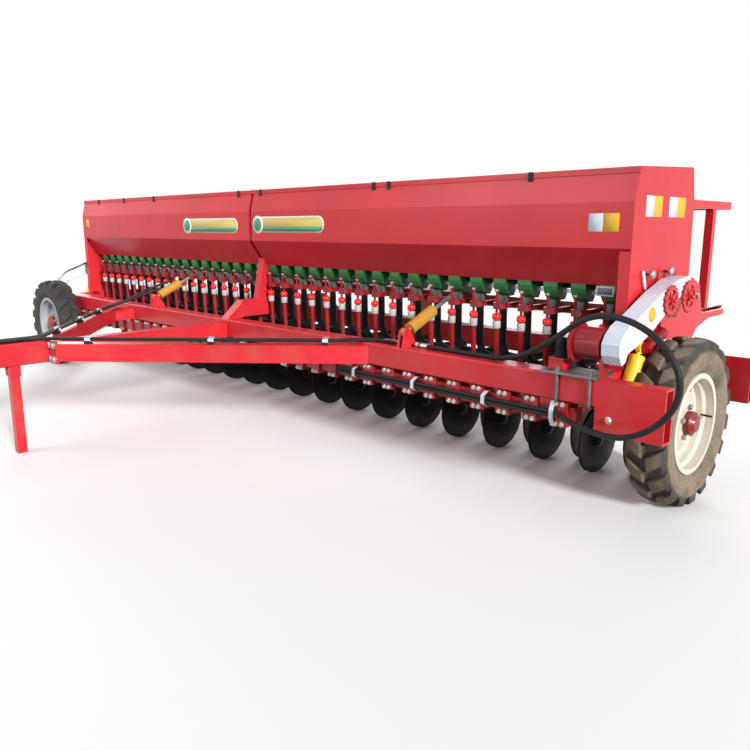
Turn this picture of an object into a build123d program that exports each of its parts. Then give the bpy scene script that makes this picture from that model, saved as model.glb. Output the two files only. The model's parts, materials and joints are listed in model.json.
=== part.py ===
from build123d import *

import math
import os

os.makedirs("parts", exist_ok=True)

# Millimetres. While the pieces are worked out, X runs along the drill with 0 at its middle
# and + at the near end, Y runs backwards from the hopper's front face, and Z is the height
# above the ground. Each piece is then moved back to the middle of the drill's own box.

# Rows
ROWS = 36
ROW_PITCH = 150.0
END_MARGIN = 157.0
HALF_GAP = 15.5
GROUND = 0.0
TOUCH_GAP = 0.4

# Frame
BEAM_TOP = 640.0
BEAM_SIZE = 120.0
BEAM_FRONT = -250.0
REAR_BEAM_BACK = 803.0
TUBE_FILLET = 9.0
RAIL_WIDTH = 80.0
END_BOX_LENGTH = 295.0
END_BOX_DEPTH = 73.0
END_BOX_HEIGHT = 225.0
END_BOX_WALL = 8.0
CRADLE_WIDTH = 80.0
POST_WIDTH = 64.0
CRADLE_TOP = 762.0
CRADLE_DEPTH = 112.0

# Hopper
HOPPER_REAR = 629.0
HOPPER_LIP = 1508.0
HOPPER_REAR_LIP = 1533.0
HOPPER_LIP_SETBACK = 35.0
HOPPER_REAR_SETBACK = 40.0
HOPPER_SHOULDER = 1367.0
HOPPER_BAND_FOOT = 1170.0
HOPPER_FLOOR = 1000.0
FLOOR_FRONT = 120.0
FLOOR_BACK = 300.0
HOPPER_WALL = 4.0
END_PLATE_WALL = 5.0
END_FLANGE = 54.0
LID_THICKNESS = 4.0
LID_LIP = 22.0
LID_OVERHANG = 9.0
LID_HINGE_RADIUS = 9.0
LID_PIN_RADIUS = 4.0
LID_HINGE_LENGTH = 60.0
PIN_RUNNING_GAP = 0.05

# Seed meters
CUP_WIDTH = 78.0
CUP_HEIGHT = 88.0
CUP_DEPTH = 94.0
FEED_SHAFT = 18.0
FEED_SHAFT_Y = 187.0
FEED_SHAFT_Z = 955.0
SHAFT_GAP = 0.3
FUNNEL_TOP = 48.0
FUNNEL_SPOUT = 30.0
FUNNEL_HEIGHT = 67.0
FUNNEL_Y = 165.0
SEED_TUBE_RADIUS = 19.0

# Openers
BAR_SIZE = 70.0
BAR_DROP = 25.0
BAR_SETBACK = 15.0
CLAMP_WIDTH = 74.0
CLAMP_BORDER = 20.0
CLAMP_REAR = 12.0
ARM_PIVOT_GAP = 23.0
STRAP_GAPS = (-17, -9, 0, 9, 17)
ARM_EYE_RADIUS = 22.6
ARM_WIDTH = 20.0
ARM_DEPTH = 44.0
ARM_RISE = -5.0
FRONT_HUB_Y = 400.0
REAR_HUB_Y = 580.0
SHANK_DEPTH = 62.0
DISC_RADIUS = 175.0
DISC_THICKNESS = 3.5
DISC_SIDES = 20
DISC_TOE = 3.6
HUB_RADIUS = 34.0
HUB_LENGTH = 9.0
BOOT_DEPTH = 58.0
BOOT_BOTTOM = 55.0
OPENER_LIFT = 10.0

# Press rods and rockshaft
ROD_Y = 120.0
ROD_TOP_Y = 104.0
ROD_TOP_Z = 946.0
ROD_RADIUS = 7.0
ROD_SLEEVE_RADIUS = 14.0
ROD_SLEEVE_TOP = 800.0
ROD_BLOCK = 28.0
ROD_BLOCK_HEIGHT = 34.0
ROD_TAB = 8.0
ROD_TAB_HEIGHT = 22.0
ROD_TAB_DEPTH = 24.0
ROD_FOOT = 20.0
ROD_FOOT_GAP = 3.0
LEVER_OFFSET = 30.0
SHAFT_Y = 330.0
SHAFT_Z = 862.0
SHAFT_SIZE = 60.0
SHAFT_STUB_RADIUS = 20.0
LEVER_THICKNESS = 10.0
LEVER_DEPTH = 27.0
BEARING_PLATE = 12.0

# Opener lift cylinders, one for each half
LIFT_SLOT = 92.0
LIFT_NEAR_ROW = 28
LIFT_FAR_ROW = 10
LIFT_BASE_Y = -205.0
LIFT_BASE_Z = 716.0
LIFT_HORN_Y = 300.0
LIFT_HORN_Z = 945.0
LIFT_BARREL_RADIUS = 33.0
LIFT_BARREL_LENGTH = 240.0
LIFT_BORE_DEPTH = 90.0
LIFT_ROD_RADIUS = 12.0
LIFT_EYE_RADIUS = 22.0
LIFT_EYE_WIDTH = 22.0
LIFT_PIN_RADIUS = 9.0
LIFT_DRIFT = 3.0
PLATE = 10.0

# Wheels
TYRE_RADIUS = 390.0
TYRE_WIDTH = 178.0
TREAD_WIDTH = 132.0
LUG_HEIGHT = 20.0
LUG_COUNT = 16
LUG_LENGTH = 74.0
LUG_WIDTH = 50.0
LUG_SWEEP = 26.0
SIDEWALL_HEIGHT = 158.0
RIM_WALL = 5.0
RIM_WELL_DEPTH = 32.0
WHEEL_DISH_RADIUS = 92.0
HUB_BARREL_RADIUS = 52.0
AXLE_RADIUS = 25.0
WHEEL_OUTSET = 151.0
WHEEL_Y = 270.0
FAR_WHEEL_INSET = 174.0
FAR_WHEEL_Y = -396.0

# Wheel arms and their cylinders
ARM_GAP = 15.0
WHEEL_ARM_WIDTH = 44.0
WHEEL_ARM_DEPTH = 80.0
WHEEL_PIVOT_Y = 620.0
WHEEL_PIVOT_Z = 560.0
WHEEL_EYE_Y = -95.0
WHEEL_EYE_Z = 425.0
RAISE_TOP_Y = 75.0
RAISE_TOP_Z = 740.0
RAISE_BARREL_RADIUS = 34.0
RAISE_BARREL_LENGTH = 262.0
RAISE_BORE_DEPTH = 205.0
RAISE_STAY_RADIUS = 28.0
RAISE_ROD_RADIUS = 16.0
RAISE_EYE_RADIUS = 26.0
RAISE_PIN_RADIUS = 12.0
RAISE_DRIFT = 5.0
WHEEL_LIFT = 16.0
PIVOT_BOSS_RADIUS = 42.0
PIVOT_PIN_RADIUS = 20.0

# Drawbar
DRAW_BOTTOM = 520.0
DRAW_HEIGHT = 100.0
DRAW_JOINT_Y = -1430.0
DRAW_REACH_X = 1430.0
DRAW_ARM_WIDTH = 86.0
DRAW_STUB = 200.0
TONGUE_WIDTH = 80.0
HEAD_WIDTH = 100.0
HEAD_HEIGHT = 128.0
HEAD_BOTTOM = 505.0
HEAD_FRONT = -2240.0
JOINT_PLATE = 14.0
EYE_RADIUS = 25.0
EYE_OUTER = 58.0
EYE_THICKNESS = 32.0
EYE_REACH = 120.0
JACK_Y = -1630.0
JACK_PIVOT_DROP = 34.0
JACK_SIZE = 50.0
JACK_PIN_RADIUS = 10.0

# Near end seed drive
DRUM_Y = -195.0
DRUM_Z = 782.0
DRUM_RADIUS = 68.0
DRUM_FLANGE_RADIUS = 90.0
DRUM_LENGTH = 126.0
DRUM_PLATE = 12.0
GUARD_WIDTH = 79.0
GUARD_WALL = 3.0
PANEL_THICKNESS = 20.0
SPROCKET_GAP = 10.0
SPROCKET_THICKNESS = 8.0

# Walkway behind the hopper
WALK_TOP = 842.0
WALK_THICKNESS = 30.0
WALK_FRONT = 668.0
WALK_BACK = 1190.0
RAIL_TOP = 1392.0
RAIL_TUBE = 20.0
POST_Y = 960.0
WALK_POSTS = 4

# Hoses
HOSE_RADIUS = 12.5
LINE_RADIUS = 9.0
LINE_PITCH = 20.0
LINE_BEND = 120.0
CLIP_BASE = 3.5
LINE_START = -2200.0
CLIP_LENGTH = 34.0

# Worked out from the sizes above
HALF_SPAN = (ROWS - 1) / 2 * ROW_PITCH + END_MARGIN
ROW_X = [(row - (ROWS - 1) / 2) * ROW_PITCH for row in range(ROWS)]
NEAR_ROWS = [x for x in ROW_X if x > 0]
FAR_ROWS = [x for x in ROW_X if x < 0]
BEAM_END = HALF_SPAN + 8.0
GUARD_INNER = BEAM_END + DRUM_PLATE
DRUM_INNER = BEAM_END - DRUM_LENGTH
ARM_INNER = HALF_SPAN + ARM_GAP
WHEEL_X = ARM_INNER + WHEEL_OUTSET
FAR_WHEEL_X = FAR_WHEEL_INSET - HALF_SPAN
RIM_RADIUS = TYRE_RADIUS - SIDEWALL_HEIGHT
RIM_WELL_RADIUS = RIM_RADIUS - RIM_WELL_DEPTH
HOSE_LIE = BEAM_TOP + HOSE_RADIUS + 0.1
HEAD_TOP = HEAD_BOTTOM + HEAD_HEIGHT
DRAW_TOP = DRAW_BOTTOM + DRAW_HEIGHT
LINE_HEAD = HEAD_TOP + LINE_RADIUS + CLIP_BASE
LINE_BEAM = BEAM_TOP + LINE_RADIUS + TOUCH_GAP
BEAM_BOTTOM = BEAM_TOP - BEAM_SIZE
BEAM_BACK = BEAM_FRONT + BEAM_SIZE
REAR_BEAM_FRONT = REAR_BEAM_BACK - BEAM_SIZE
REACH = BEAM_END + END_BOX_LENGTH
BAR_TOP = BEAM_BOTTOM - BAR_DROP
BAR_BOTTOM = BAR_TOP - BAR_SIZE
BAR_FRONT = BEAM_FRONT + BAR_SETBACK
BAR_BACK = BAR_FRONT + BAR_SIZE
CLAMP_BACK = BAR_BACK + CLAMP_REAR
PIVOT_Y = CLAMP_BACK + ARM_PIVOT_GAP
PIVOT_Z = (BAR_TOP + BAR_BOTTOM) / 2
ARM_Z = PIVOT_Z + ARM_RISE
ARM_TOP = ARM_Z + ARM_DEPTH / 2
HUB_Z = GROUND + DISC_RADIUS
DISC_OFFSET = DISC_RADIUS * math.sin(math.radians(DISC_TOE)) + DISC_THICKNESS
FUNNEL_BOTTOM = HOPPER_FLOOR - CUP_HEIGHT - FUNNEL_HEIGHT
JACK_PIVOT_Z = HEAD_BOTTOM - JACK_PIVOT_DROP
EYE_Y = HEAD_FRONT - EYE_REACH
EYE_Z = HEAD_BOTTOM + HEAD_HEIGHT / 2
FRONT_TIP = EYE_Y - EYE_OUTER
REAR_TIP = WALK_BACK
MIDDLE_Y = (FRONT_TIP + REAR_TIP) / 2
LIFT_NEAR_X = ROW_X[LIFT_NEAR_ROW] + LIFT_SLOT
LIFT_FAR_X = ROW_X[LIFT_FAR_ROW] + LIFT_SLOT
HINGE_Y = HOPPER_REAR - HOPPER_REAR_SETBACK + LID_HINGE_RADIUS + 1.0
HINGE_Z = HOPPER_REAR_LIP + 2.0


def box(x, y, z):
    """A block between (low, high) pairs."""
    size = Box(x[1] - x[0], y[1] - y[0], z[1] - z[0])
    return Pos((x[0] + x[1]) / 2, (y[0] + y[1]) / 2, (z[0] + z[1]) / 2) * size


def along_x(points, start, end):
    """An outline of (y, z) points carried along X."""
    face = Plane.YZ.offset(start) * Polygon(*points, align=None)
    return extrude(face, amount=end - start, dir=(1, 0, 0))


def along_z(points, start, end):
    """An outline of (x, y) points carried upwards."""
    face = Plane.XY.offset(start) * Polygon(*points, align=None)
    return extrude(face, amount=end - start, dir=(0, 0, 1))


def round_bar(start, end, radius):
    """A round bar between two points."""
    axis = Vector(*end) - Vector(*start)
    place = Plane(origin=start, z_dir=axis)
    return place * Cylinder(radius, axis.length, align=(Align.CENTER, Align.CENTER, Align.MIN))


def pin_x(y, z, radius, start, end):
    """A round pin along X."""
    return round_bar((start, y, z), (end, y, z), radius)


def tube(x, y, z, run):
    """A closed square tube with rounded long edges; run names its long direction."""
    return fillet(box(x, y, z).edges().filter_by(run), TUBE_FILLET)


def group(solids):
    """Solids of one piece that don't touch each other."""
    return Compound(children=list(solids))


def save(name, shape):
    """Moves a piece into the drill's own frame and writes it."""
    export_step(Pos(0, -MIDDLE_Y, 0) * shape, f"parts/{name}.step")


def far_side(shape):
    """The same piece at the drill's far end."""
    return mirror(shape, about=Plane.YZ)


def unit(start, end):
    """Unit direction (y, z) and length from one (y, z) point to another."""
    length = math.hypot(end[0] - start[0], end[1] - start[1])
    return (end[0] - start[0]) / length, (end[1] - start[1]) / length, length


def front_beam():
    return tube((-BEAM_END, BEAM_END), (BEAM_FRONT, BEAM_BACK), (BEAM_BOTTOM, BEAM_TOP), Axis.X)


def rear_beam():
    y = (REAR_BEAM_FRONT, REAR_BEAM_BACK)
    return tube((-BEAM_END, BEAM_END), y, (BEAM_BOTTOM, BEAM_TOP), Axis.X)


def side_rail():
    x = (HALF_SPAN - RAIL_WIDTH, HALF_SPAN)
    return tube(x, (BEAM_BACK, REAR_BEAM_FRONT), (BEAM_BOTTOM, BEAM_TOP), Axis.Y)


def end_box(y_front):
    """Open rectangular tube past the beam's end, a socket for the end towing drawbar."""
    x = (BEAM_END, REACH)
    y = (y_front, y_front + END_BOX_DEPTH)
    z = (BEAM_TOP - END_BOX_HEIGHT, BEAM_TOP)
    inside = END_BOX_WALL
    hollow = box(
        (x[0] + inside, x[1] + inside), (y[0] + inside, y[1] - inside), (z[0] + inside, z[1] - inside)
    )
    return box(x, y, z) - hollow


def cradle():
    """Raised fore and aft beam in the middle, which carries the hopper's centre post."""
    top = CRADLE_TOP
    low = CRADLE_TOP - CRADLE_DEPTH
    ramp = top - BEAM_TOP
    outline = [
        (BEAM_FRONT + 8, BEAM_TOP),
        (BEAM_FRONT + 8 + 1.15 * ramp, top),
        (REAR_BEAM_BACK - 8 - 1.15 * ramp, top),
        (REAR_BEAM_BACK - 8, BEAM_TOP),
        (REAR_BEAM_FRONT, BEAM_TOP),
        (REAR_BEAM_FRONT - 40, low),
        (BEAM_BACK + 40, low),
        (BEAM_BACK, BEAM_TOP),
    ]
    return along_x(outline, -CRADLE_WIDTH / 2, CRADLE_WIDTH / 2)


def slope_z(y):
    """Height of the hopper's front underside at y."""
    fall = HOPPER_BAND_FOOT - HOPPER_FLOOR
    return HOPPER_BAND_FOOT - fall * y / FLOOR_FRONT


def centre_post():
    """Box post from the cradle to the hopper, with a sloping back."""
    outline = [
        (30, CRADLE_TOP),
        (88, slope_z(88)),
        (FLOOR_FRONT, HOPPER_FLOOR),
        (FLOOR_FRONT + 22, HOPPER_FLOOR),
        (262, CRADLE_TOP),
    ]
    return along_x(outline, -POST_WIDTH / 2, POST_WIDTH / 2)


def hopper_outline(inset):
    """The hopper's section, moved inwards by inset; an inset one is open at the top."""
    rise = inset * 0.25
    top = 60.0 if inset else 0.0
    front = inset
    back = HOPPER_REAR - inset
    return [
        (front, HOPPER_BAND_FOOT + rise),
        (front, HOPPER_SHOULDER - rise),
        (HOPPER_LIP_SETBACK + inset + top * 0.24, HOPPER_LIP + top),
        (HOPPER_REAR - HOPPER_REAR_SETBACK - inset - top * 0.2, HOPPER_REAR_LIP + top),
        (back, HOPPER_SHOULDER - rise),
        (back, HOPPER_BAND_FOOT + rise),
        (FLOOR_BACK - rise, HOPPER_FLOOR + inset),
        (FLOOR_FRONT + rise, HOPPER_FLOOR + inset),
    ]


def hopper_shell():
    """Near half of the seed hopper: folded sheet walls, an inner end and hinge ears."""
    start = HALF_GAP
    end = HALF_SPAN - END_PLATE_WALL
    outer = along_x(hopper_outline(0), start, end)
    inner = along_x(hopper_outline(HOPPER_WALL), start + HOPPER_WALL, end + 1)
    shell = outer - inner
    for x in lid_hinges():
        for side in (-1, 1):
            ear_x = x + side * (LID_HINGE_LENGTH / 2 + 1)
            low, high = sorted((ear_x, ear_x + side * 16))
            ear = pin_x(HINGE_Y, HINGE_Z, LID_HINGE_RADIUS, low, high)
            foot = box(
                (low, high),
                (HINGE_Y - LID_HINGE_RADIUS + 1, HINGE_Y + 5),
                (HINGE_Z - 45, HINGE_Z),
            )
            shell += ear + foot
        half = LID_HINGE_LENGTH / 2 + 17
        shell += pin_x(HINGE_Y, HINGE_Z, LID_PIN_RADIUS, x - half, x + half)
    return shell


def lid_hinges():
    """Places of the lid's hinges along the near half."""
    length = HALF_SPAN - HALF_GAP
    return [HALF_GAP + length * share for share in (0.1, 0.37, 0.63, 0.9)]


def lid():
    """Near lid: a folded sheet with a front lip, hinged along the hopper's back edge."""
    x = (HALF_GAP - 5, HALF_SPAN)
    front = HOPPER_LIP_SETBACK - LID_OVERHANG
    back = HOPPER_REAR - HOPPER_REAR_SETBACK - 2
    slope = (HOPPER_REAR_LIP - HOPPER_LIP) / (back + 2 - HOPPER_LIP_SETBACK)
    low_front = HOPPER_LIP + TOUCH_GAP - LID_OVERHANG * slope
    low_back = HOPPER_REAR_LIP + TOUCH_GAP
    outline = [
        (front, low_front - LID_LIP),
        (front, low_front + LID_THICKNESS),
        (back, low_back + LID_THICKNESS),
        (back, low_back),
        (front + 3, low_front),
        (front + 3, low_front - LID_LIP),
    ]
    sheet = along_x(outline, *x)
    for place in lid_hinges():
        half = LID_HINGE_LENGTH / 2
        sheet -= box(
            (place - half - 19, place + half + 19), (back - 4, back + 9), (low_back - 9, low_back + 9)
        )
        knuckle = pin_x(HINGE_Y, HINGE_Z, LID_HINGE_RADIUS, place - half, place + half)
        strap = box(
            (place - half, place + half),
            (back - 60, HINGE_Y - 2),
            (HINGE_Z + LID_HINGE_RADIUS - 4, HINGE_Z + LID_HINGE_RADIUS),
        )
        bore = pin_x(HINGE_Y, HINGE_Z, LID_PIN_RADIUS + PIN_RUNNING_GAP, place - half - 1, place + half + 1)
        sheet += strap + knuckle - bore
    return sheet


def end_plate():
    """Near end sheet of the hopper, which runs down to the side rail as its leg."""
    sheet = [
        (0, BEAM_TOP),
        (0, HOPPER_SHOULDER),
        (HOPPER_LIP_SETBACK, HOPPER_LIP),
        (HOPPER_REAR - HOPPER_REAR_SETBACK, HOPPER_REAR_LIP),
        (HOPPER_REAR, HOPPER_SHOULDER),
        (HOPPER_REAR + 11, 1020),
        (FLOOR_BACK + 120, CRADLE_TOP),
        (FLOOR_BACK + 60, BEAM_TOP),
    ]
    plate = along_x(sheet, HALF_SPAN - END_PLATE_WALL, HALF_SPAN)
    flange = box(
        (HALF_SPAN - END_FLANGE, HALF_SPAN - END_PLATE_WALL),
        (0, END_PLATE_WALL),
        (BEAM_TOP, HOPPER_BAND_FOOT - 12),
    )
    foot = box(
        (HALF_SPAN - 130, HALF_SPAN - END_PLATE_WALL), (0, 60), (BEAM_TOP, BEAM_TOP + 14)
    )
    return plate + flange + foot


def meter_cups():
    """Seed meters: curved housings under the hopper, with the square feed shaft's hole."""
    top = HOPPER_FLOOR
    foot = top - CUP_HEIGHT
    front = FLOOR_FRONT + 1
    outline = [
        (front, top),
        (front, top - 22),
        (front + 8, top - 48),
        (front + 24, top - 72),
        (front + 46, foot),
        (front + CUP_DEPTH - 14, foot),
        (front + CUP_DEPTH, foot + 24),
        (front + CUP_DEPTH, top),
    ]
    hole = FEED_SHAFT / 2 + SHAFT_GAP
    cup = along_x(outline, -CUP_WIDTH / 2, CUP_WIDTH / 2) - box(
        (-CUP_WIDTH, CUP_WIDTH),
        (FEED_SHAFT_Y - hole, FEED_SHAFT_Y + hole),
        (FEED_SHAFT_Z - hole, FEED_SHAFT_Z + hole),
    )
    return group(Pos(x, 0, 0) * cup for x in ROW_X)


def feed_shaft():
    half = FEED_SHAFT / 2
    end = HALF_SPAN - END_PLATE_WALL
    return box(
        (-end, end), (FEED_SHAFT_Y - half, FEED_SHAFT_Y + half), (FEED_SHAFT_Z - half, FEED_SHAFT_Z + half)
    )


def seed_funnels():
    """Tapered chutes between the meters and the seed tubes."""
    top = Plane.XY.offset(FUNNEL_BOTTOM + FUNNEL_HEIGHT) * Rectangle(FUNNEL_TOP, FUNNEL_TOP * 0.9)
    foot = Plane.XY.offset(FUNNEL_BOTTOM) * Rectangle(FUNNEL_SPOUT, FUNNEL_SPOUT)
    funnel = Pos(0, FUNNEL_Y, 0) * loft([foot, top], ruled=True)
    return group(Pos(x, 0, 0) * funnel for x in ROW_X)


def seed_tube(hub_y):
    """Six sided run of the rubber tube from a funnel down to the boot behind a hub."""
    boot_y = hub_y + SHANK_DEPTH / 2 + 4
    route = [
        (0, FUNNEL_Y, FUNNEL_BOTTOM),
        (0, FUNNEL_Y, FUNNEL_BOTTOM - 110),
        (0, FUNNEL_Y + 0.3 * (boot_y - FUNNEL_Y), FUNNEL_BOTTOM - 230),
        (0, boot_y, ARM_TOP + 60),
        (0, boot_y, ARM_TOP + TOUCH_GAP),
    ]
    path = Polyline(*route)
    section = Plane(origin=route[0], z_dir=(0, 0, -1)) * RegularPolygon(SEED_TUBE_RADIUS, 6)
    return sweep(section, path=path, transition=Transition.RIGHT)


def is_front(x):
    """Every second row is in the front rank, counted from the near end."""
    return round((ROW_X[-1] - x) / ROW_PITCH) % 2 == 1


def hub_y_of(x):
    return FRONT_HUB_Y if is_front(x) else REAR_HUB_Y


def seed_tubes(rows):
    shapes = {True: seed_tube(FRONT_HUB_Y), False: seed_tube(REAR_HUB_Y)}
    return group(Pos(x, 0, 0) * shapes[is_front(x)] for x in rows)


def opener_bar():
    x = HALF_SPAN - RAIL_WIDTH - 12
    return box((-x, x), (BAR_FRONT, BAR_BACK), (BAR_BOTTOM, BAR_TOP))


def opener_clamps():
    """Blocks bolted round the opener bar, each with the ear that an opener hinges on."""
    half = CLAMP_WIDTH / 2
    outer = box(
        (-half, half), (BEAM_FRONT, CLAMP_BACK), (BAR_BOTTOM - CLAMP_BORDER, BAR_TOP + CLAMP_BORDER)
    )
    inner = box((-half - 1, half + 1), (BAR_FRONT, BAR_BACK), (BAR_BOTTOM, BAR_TOP))
    ears = box((-half, half), (CLAMP_BACK, PIVOT_Y + 12), (PIVOT_Z - 20, PIVOT_Z + 20)) - box(
        (-ARM_WIDTH / 2 - 2, ARM_WIDTH / 2 + 2), (CLAMP_BACK, PIVOT_Y + 13), (PIVOT_Z - 21, PIVOT_Z + 21)
    )
    cheeks = ears & box((-24, 24), (CLAMP_BACK, PIVOT_Y + 12), (PIVOT_Z - 20, PIVOT_Z + 20))
    clamp = outer - inner + cheeks
    return group(Pos(x, 0, 0) * clamp for x in ROW_X)


def opener_arm(hub_y):
    """Hinged arm with its shank, seed boot and the tab that the press rod is pinned to."""
    low = ARM_Z - ARM_DEPTH / 2
    eye = [
        (
            PIVOT_Y + ARM_EYE_RADIUS * math.cos(math.radians(angle)),
            PIVOT_Z + ARM_EYE_RADIUS * math.sin(math.radians(angle)),
        )
        for angle in (100, 140, 180, 220, 260)
    ]
    back = hub_y + SHANK_DEPTH / 2
    outline = eye + [
        (PIVOT_Y + 40, low),
        (hub_y - SHANK_DEPTH / 2 - 20, low),
        (hub_y - SHANK_DEPTH / 2, low - 30),
        (hub_y - 24, HUB_Z - 20),
        (hub_y + 24, HUB_Z - 20),
        (hub_y + 30, BOOT_BOTTOM),
        (back + BOOT_DEPTH * 0.5, BOOT_BOTTOM),
        (back + BOOT_DEPTH * 0.5, ARM_TOP - 110),
        (back + 25, ARM_TOP),
        (PIVOT_Y + 40, ARM_TOP),
    ]
    arm = along_x(outline, -ARM_WIDTH / 2, ARM_WIDTH / 2)
    tab = box(
        (-ROD_TAB / 2, ROD_TAB / 2),
        (ROD_Y - ROD_TAB_DEPTH / 2, ROD_Y + ROD_TAB_DEPTH / 2),
        (ARM_TOP - 2, ARM_TOP + ROD_TAB_HEIGHT),
    )
    return arm + tab


def opener_arms(rows):
    shapes = {True: opener_arm(FRONT_HUB_Y), False: opener_arm(REAR_HUB_Y)}
    return group(Pos(x, 0, 0) * shapes[is_front(x)] for x in rows)


def opener_discs(rows):
    """Two toed-in discs for each opener, whose rims meet at the front, on the arm's hub."""
    disc = Rot(0, 90, 0) * extrude(RegularPolygon(DISC_RADIUS, DISC_SIDES), DISC_THICKNESS / 2, both=True)
    hub = Rot(0, 90, 0) * extrude(RegularPolygon(HUB_RADIUS, 8), HUB_LENGTH / 2, both=True)
    solids = []
    for x in rows:
        for side in (-1, 1):
            turned = Rot(0, 0, -side * DISC_TOE) * disc
            cap_x = side * (DISC_THICKNESS / 2 + HUB_LENGTH / 2)
            cap = Rot(0, 0, -side * DISC_TOE) * Pos(cap_x, 0, 0) * hub
            solids.append(Pos(x + side * DISC_OFFSET, hub_y_of(x), HUB_Z) * (turned + cap))
    return group(solids)


def press_rod(way):
    """Sprung rod from an opener arm's tab up to a rockshaft lever; way is its lever's side."""
    foot_z = ARM_TOP + ROD_FOOT_GAP
    lean = (ROD_TOP_Y - ROD_Y) / (ROD_TOP_Z - ARM_TOP)
    slope = Vector(0, lean, 1)

    def at(z):
        return (0, ROD_Y + lean * (z - ARM_TOP), z)

    def bar(low, high, radius, sides):
        face = Plane(origin=at(low), z_dir=slope) * RegularPolygon(radius, sides)
        return extrude(face, amount=(high - low) * slope.length)

    half = ROD_FOOT / 2
    slot = ROD_TAB / 2 + 0.5
    slot_top = ARM_TOP + ROD_TAB_HEIGHT + 5
    foot = box((-half, half), (ROD_Y - half, ROD_Y + half), (foot_z, slot_top + 8)) - box(
        (-slot, slot), (ROD_Y - half - 1, ROD_Y + half + 1), (foot_z - 1, slot_top)
    )
    sleeve = bar(slot_top + 6, ROD_SLEEVE_TOP, ROD_SLEEVE_RADIUS, 8)
    stem = bar(ROD_SLEEVE_TOP, ROD_TOP_Z, ROD_RADIUS, 6)
    block_y = at(SHAFT_Z)[1]
    block_x = sorted((-way * ROD_BLOCK / 2, way * LEVER_OFFSET))
    block = box(
        block_x,
        (block_y - ROD_BLOCK / 2, block_y + ROD_BLOCK / 2),
        (SHAFT_Z - ROD_BLOCK_HEIGHT / 2, SHAFT_Z + ROD_BLOCK_HEIGHT / 2),
    )
    return foot + sleeve + stem + block


def press_rods(rows):
    rod = press_rod(1 if rows[0] > 0 else -1)
    return group(Pos(x, 0, 0) * rod for x in rows)


def lift_geometry():
    """Base and horn points of an opener lift cylinder as (y, z), with its direction."""
    base = (LIFT_BASE_Y, LIFT_BASE_Z)
    horn = (LIFT_HORN_Y, LIFT_HORN_Z)
    return base, horn, unit(base, horn)


def rockshaft(rows, lift_x):
    """Square shaft of one half with a lever to every press rod and a horn for its cylinder."""
    stub = BEARING_PLATE + 6
    start = CRADLE_WIDTH / 2 + 6
    end = HALF_SPAN - RAIL_WIDTH - 12
    half = SHAFT_SIZE / 2
    low, high = (start, end) if rows[0] > 0 else (-end, -start)
    shaft = box((low, high), (SHAFT_Y - half, SHAFT_Y + half), (SHAFT_Z - half, SHAFT_Z + half))
    for place, way in ((low, -1), (high, 1)):
        near, far = sorted((place, place + way * stub))
        shaft += pin_x(SHAFT_Y, SHAFT_Z, SHAFT_STUB_RADIUS, near, far)
    way = 1 if rows[0] > 0 else -1
    lever_x = LEVER_OFFSET + TOUCH_GAP
    for x in rows:
        shaft += box(
            sorted((x + way * lever_x, x + way * (lever_x + LEVER_THICKNESS))),
            (ROD_TOP_Y - 12, SHAFT_Y - half),
            (SHAFT_Z - LEVER_DEPTH / 2, SHAFT_Z + LEVER_DEPTH / 2),
        )
    horn = [
        (SHAFT_Y - half, SHAFT_Z + half),
        (LIFT_HORN_Y - 20, LIFT_HORN_Z - 4),
        (LIFT_HORN_Y - 12, LIFT_HORN_Z + 18),
        (LIFT_HORN_Y + 12, LIFT_HORN_Z + 18),
        (LIFT_HORN_Y + 20, LIFT_HORN_Z - 4),
        (SHAFT_Y + half, SHAFT_Z + half),
    ]
    gap = LIFT_EYE_WIDTH / 2 + 1
    hole = LIFT_PIN_RADIUS + LIFT_DRIFT
    for side in (-1, 1):
        near, far = sorted((lift_x + side * gap, lift_x + side * (gap + 7)))
        cheek = along_x(horn, near, far)
        shaft += cheek - pin_x(LIFT_HORN_Y, LIFT_HORN_Z, hole, near - 1, far + 1)
    return shaft


def bearing_centre():
    """Middle bearing of both rockshafts, standing on the cradle."""
    outline = [
        (SHAFT_Y - 60, CRADLE_TOP),
        (SHAFT_Y - 34, SHAFT_Z + 10),
        (SHAFT_Y - 16, SHAFT_Z + 36),
        (SHAFT_Y + 16, SHAFT_Z + 36),
        (SHAFT_Y + 34, SHAFT_Z + 10),
        (SHAFT_Y + 60, CRADLE_TOP),
    ]
    half = CRADLE_WIDTH / 2
    bore = pin_x(SHAFT_Y, SHAFT_Z, SHAFT_STUB_RADIUS + PIN_RUNNING_GAP, -half - 1, half + 1)
    return along_x(outline, -half, half) - bore


def bearing_end():
    """End bearing of a rockshaft, standing on the side rail."""
    inner = HALF_SPAN - RAIL_WIDTH - 6
    outline = [
        (SHAFT_Y - 60, BEAM_TOP),
        (SHAFT_Y - 34, SHAFT_Z + 10),
        (SHAFT_Y - 16, SHAFT_Z + 36),
        (SHAFT_Y + 16, SHAFT_Z + 36),
        (SHAFT_Y + 34, SHAFT_Z + 10),
        (SHAFT_Y + 60, BEAM_TOP),
    ]
    start = inner + 6.5
    bore = pin_x(SHAFT_Y, SHAFT_Z, SHAFT_STUB_RADIUS + PIN_RUNNING_GAP, start - 1, start + BEARING_PLATE + 1)
    return along_x(outline, start, start + BEARING_PLATE) - bore


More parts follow.
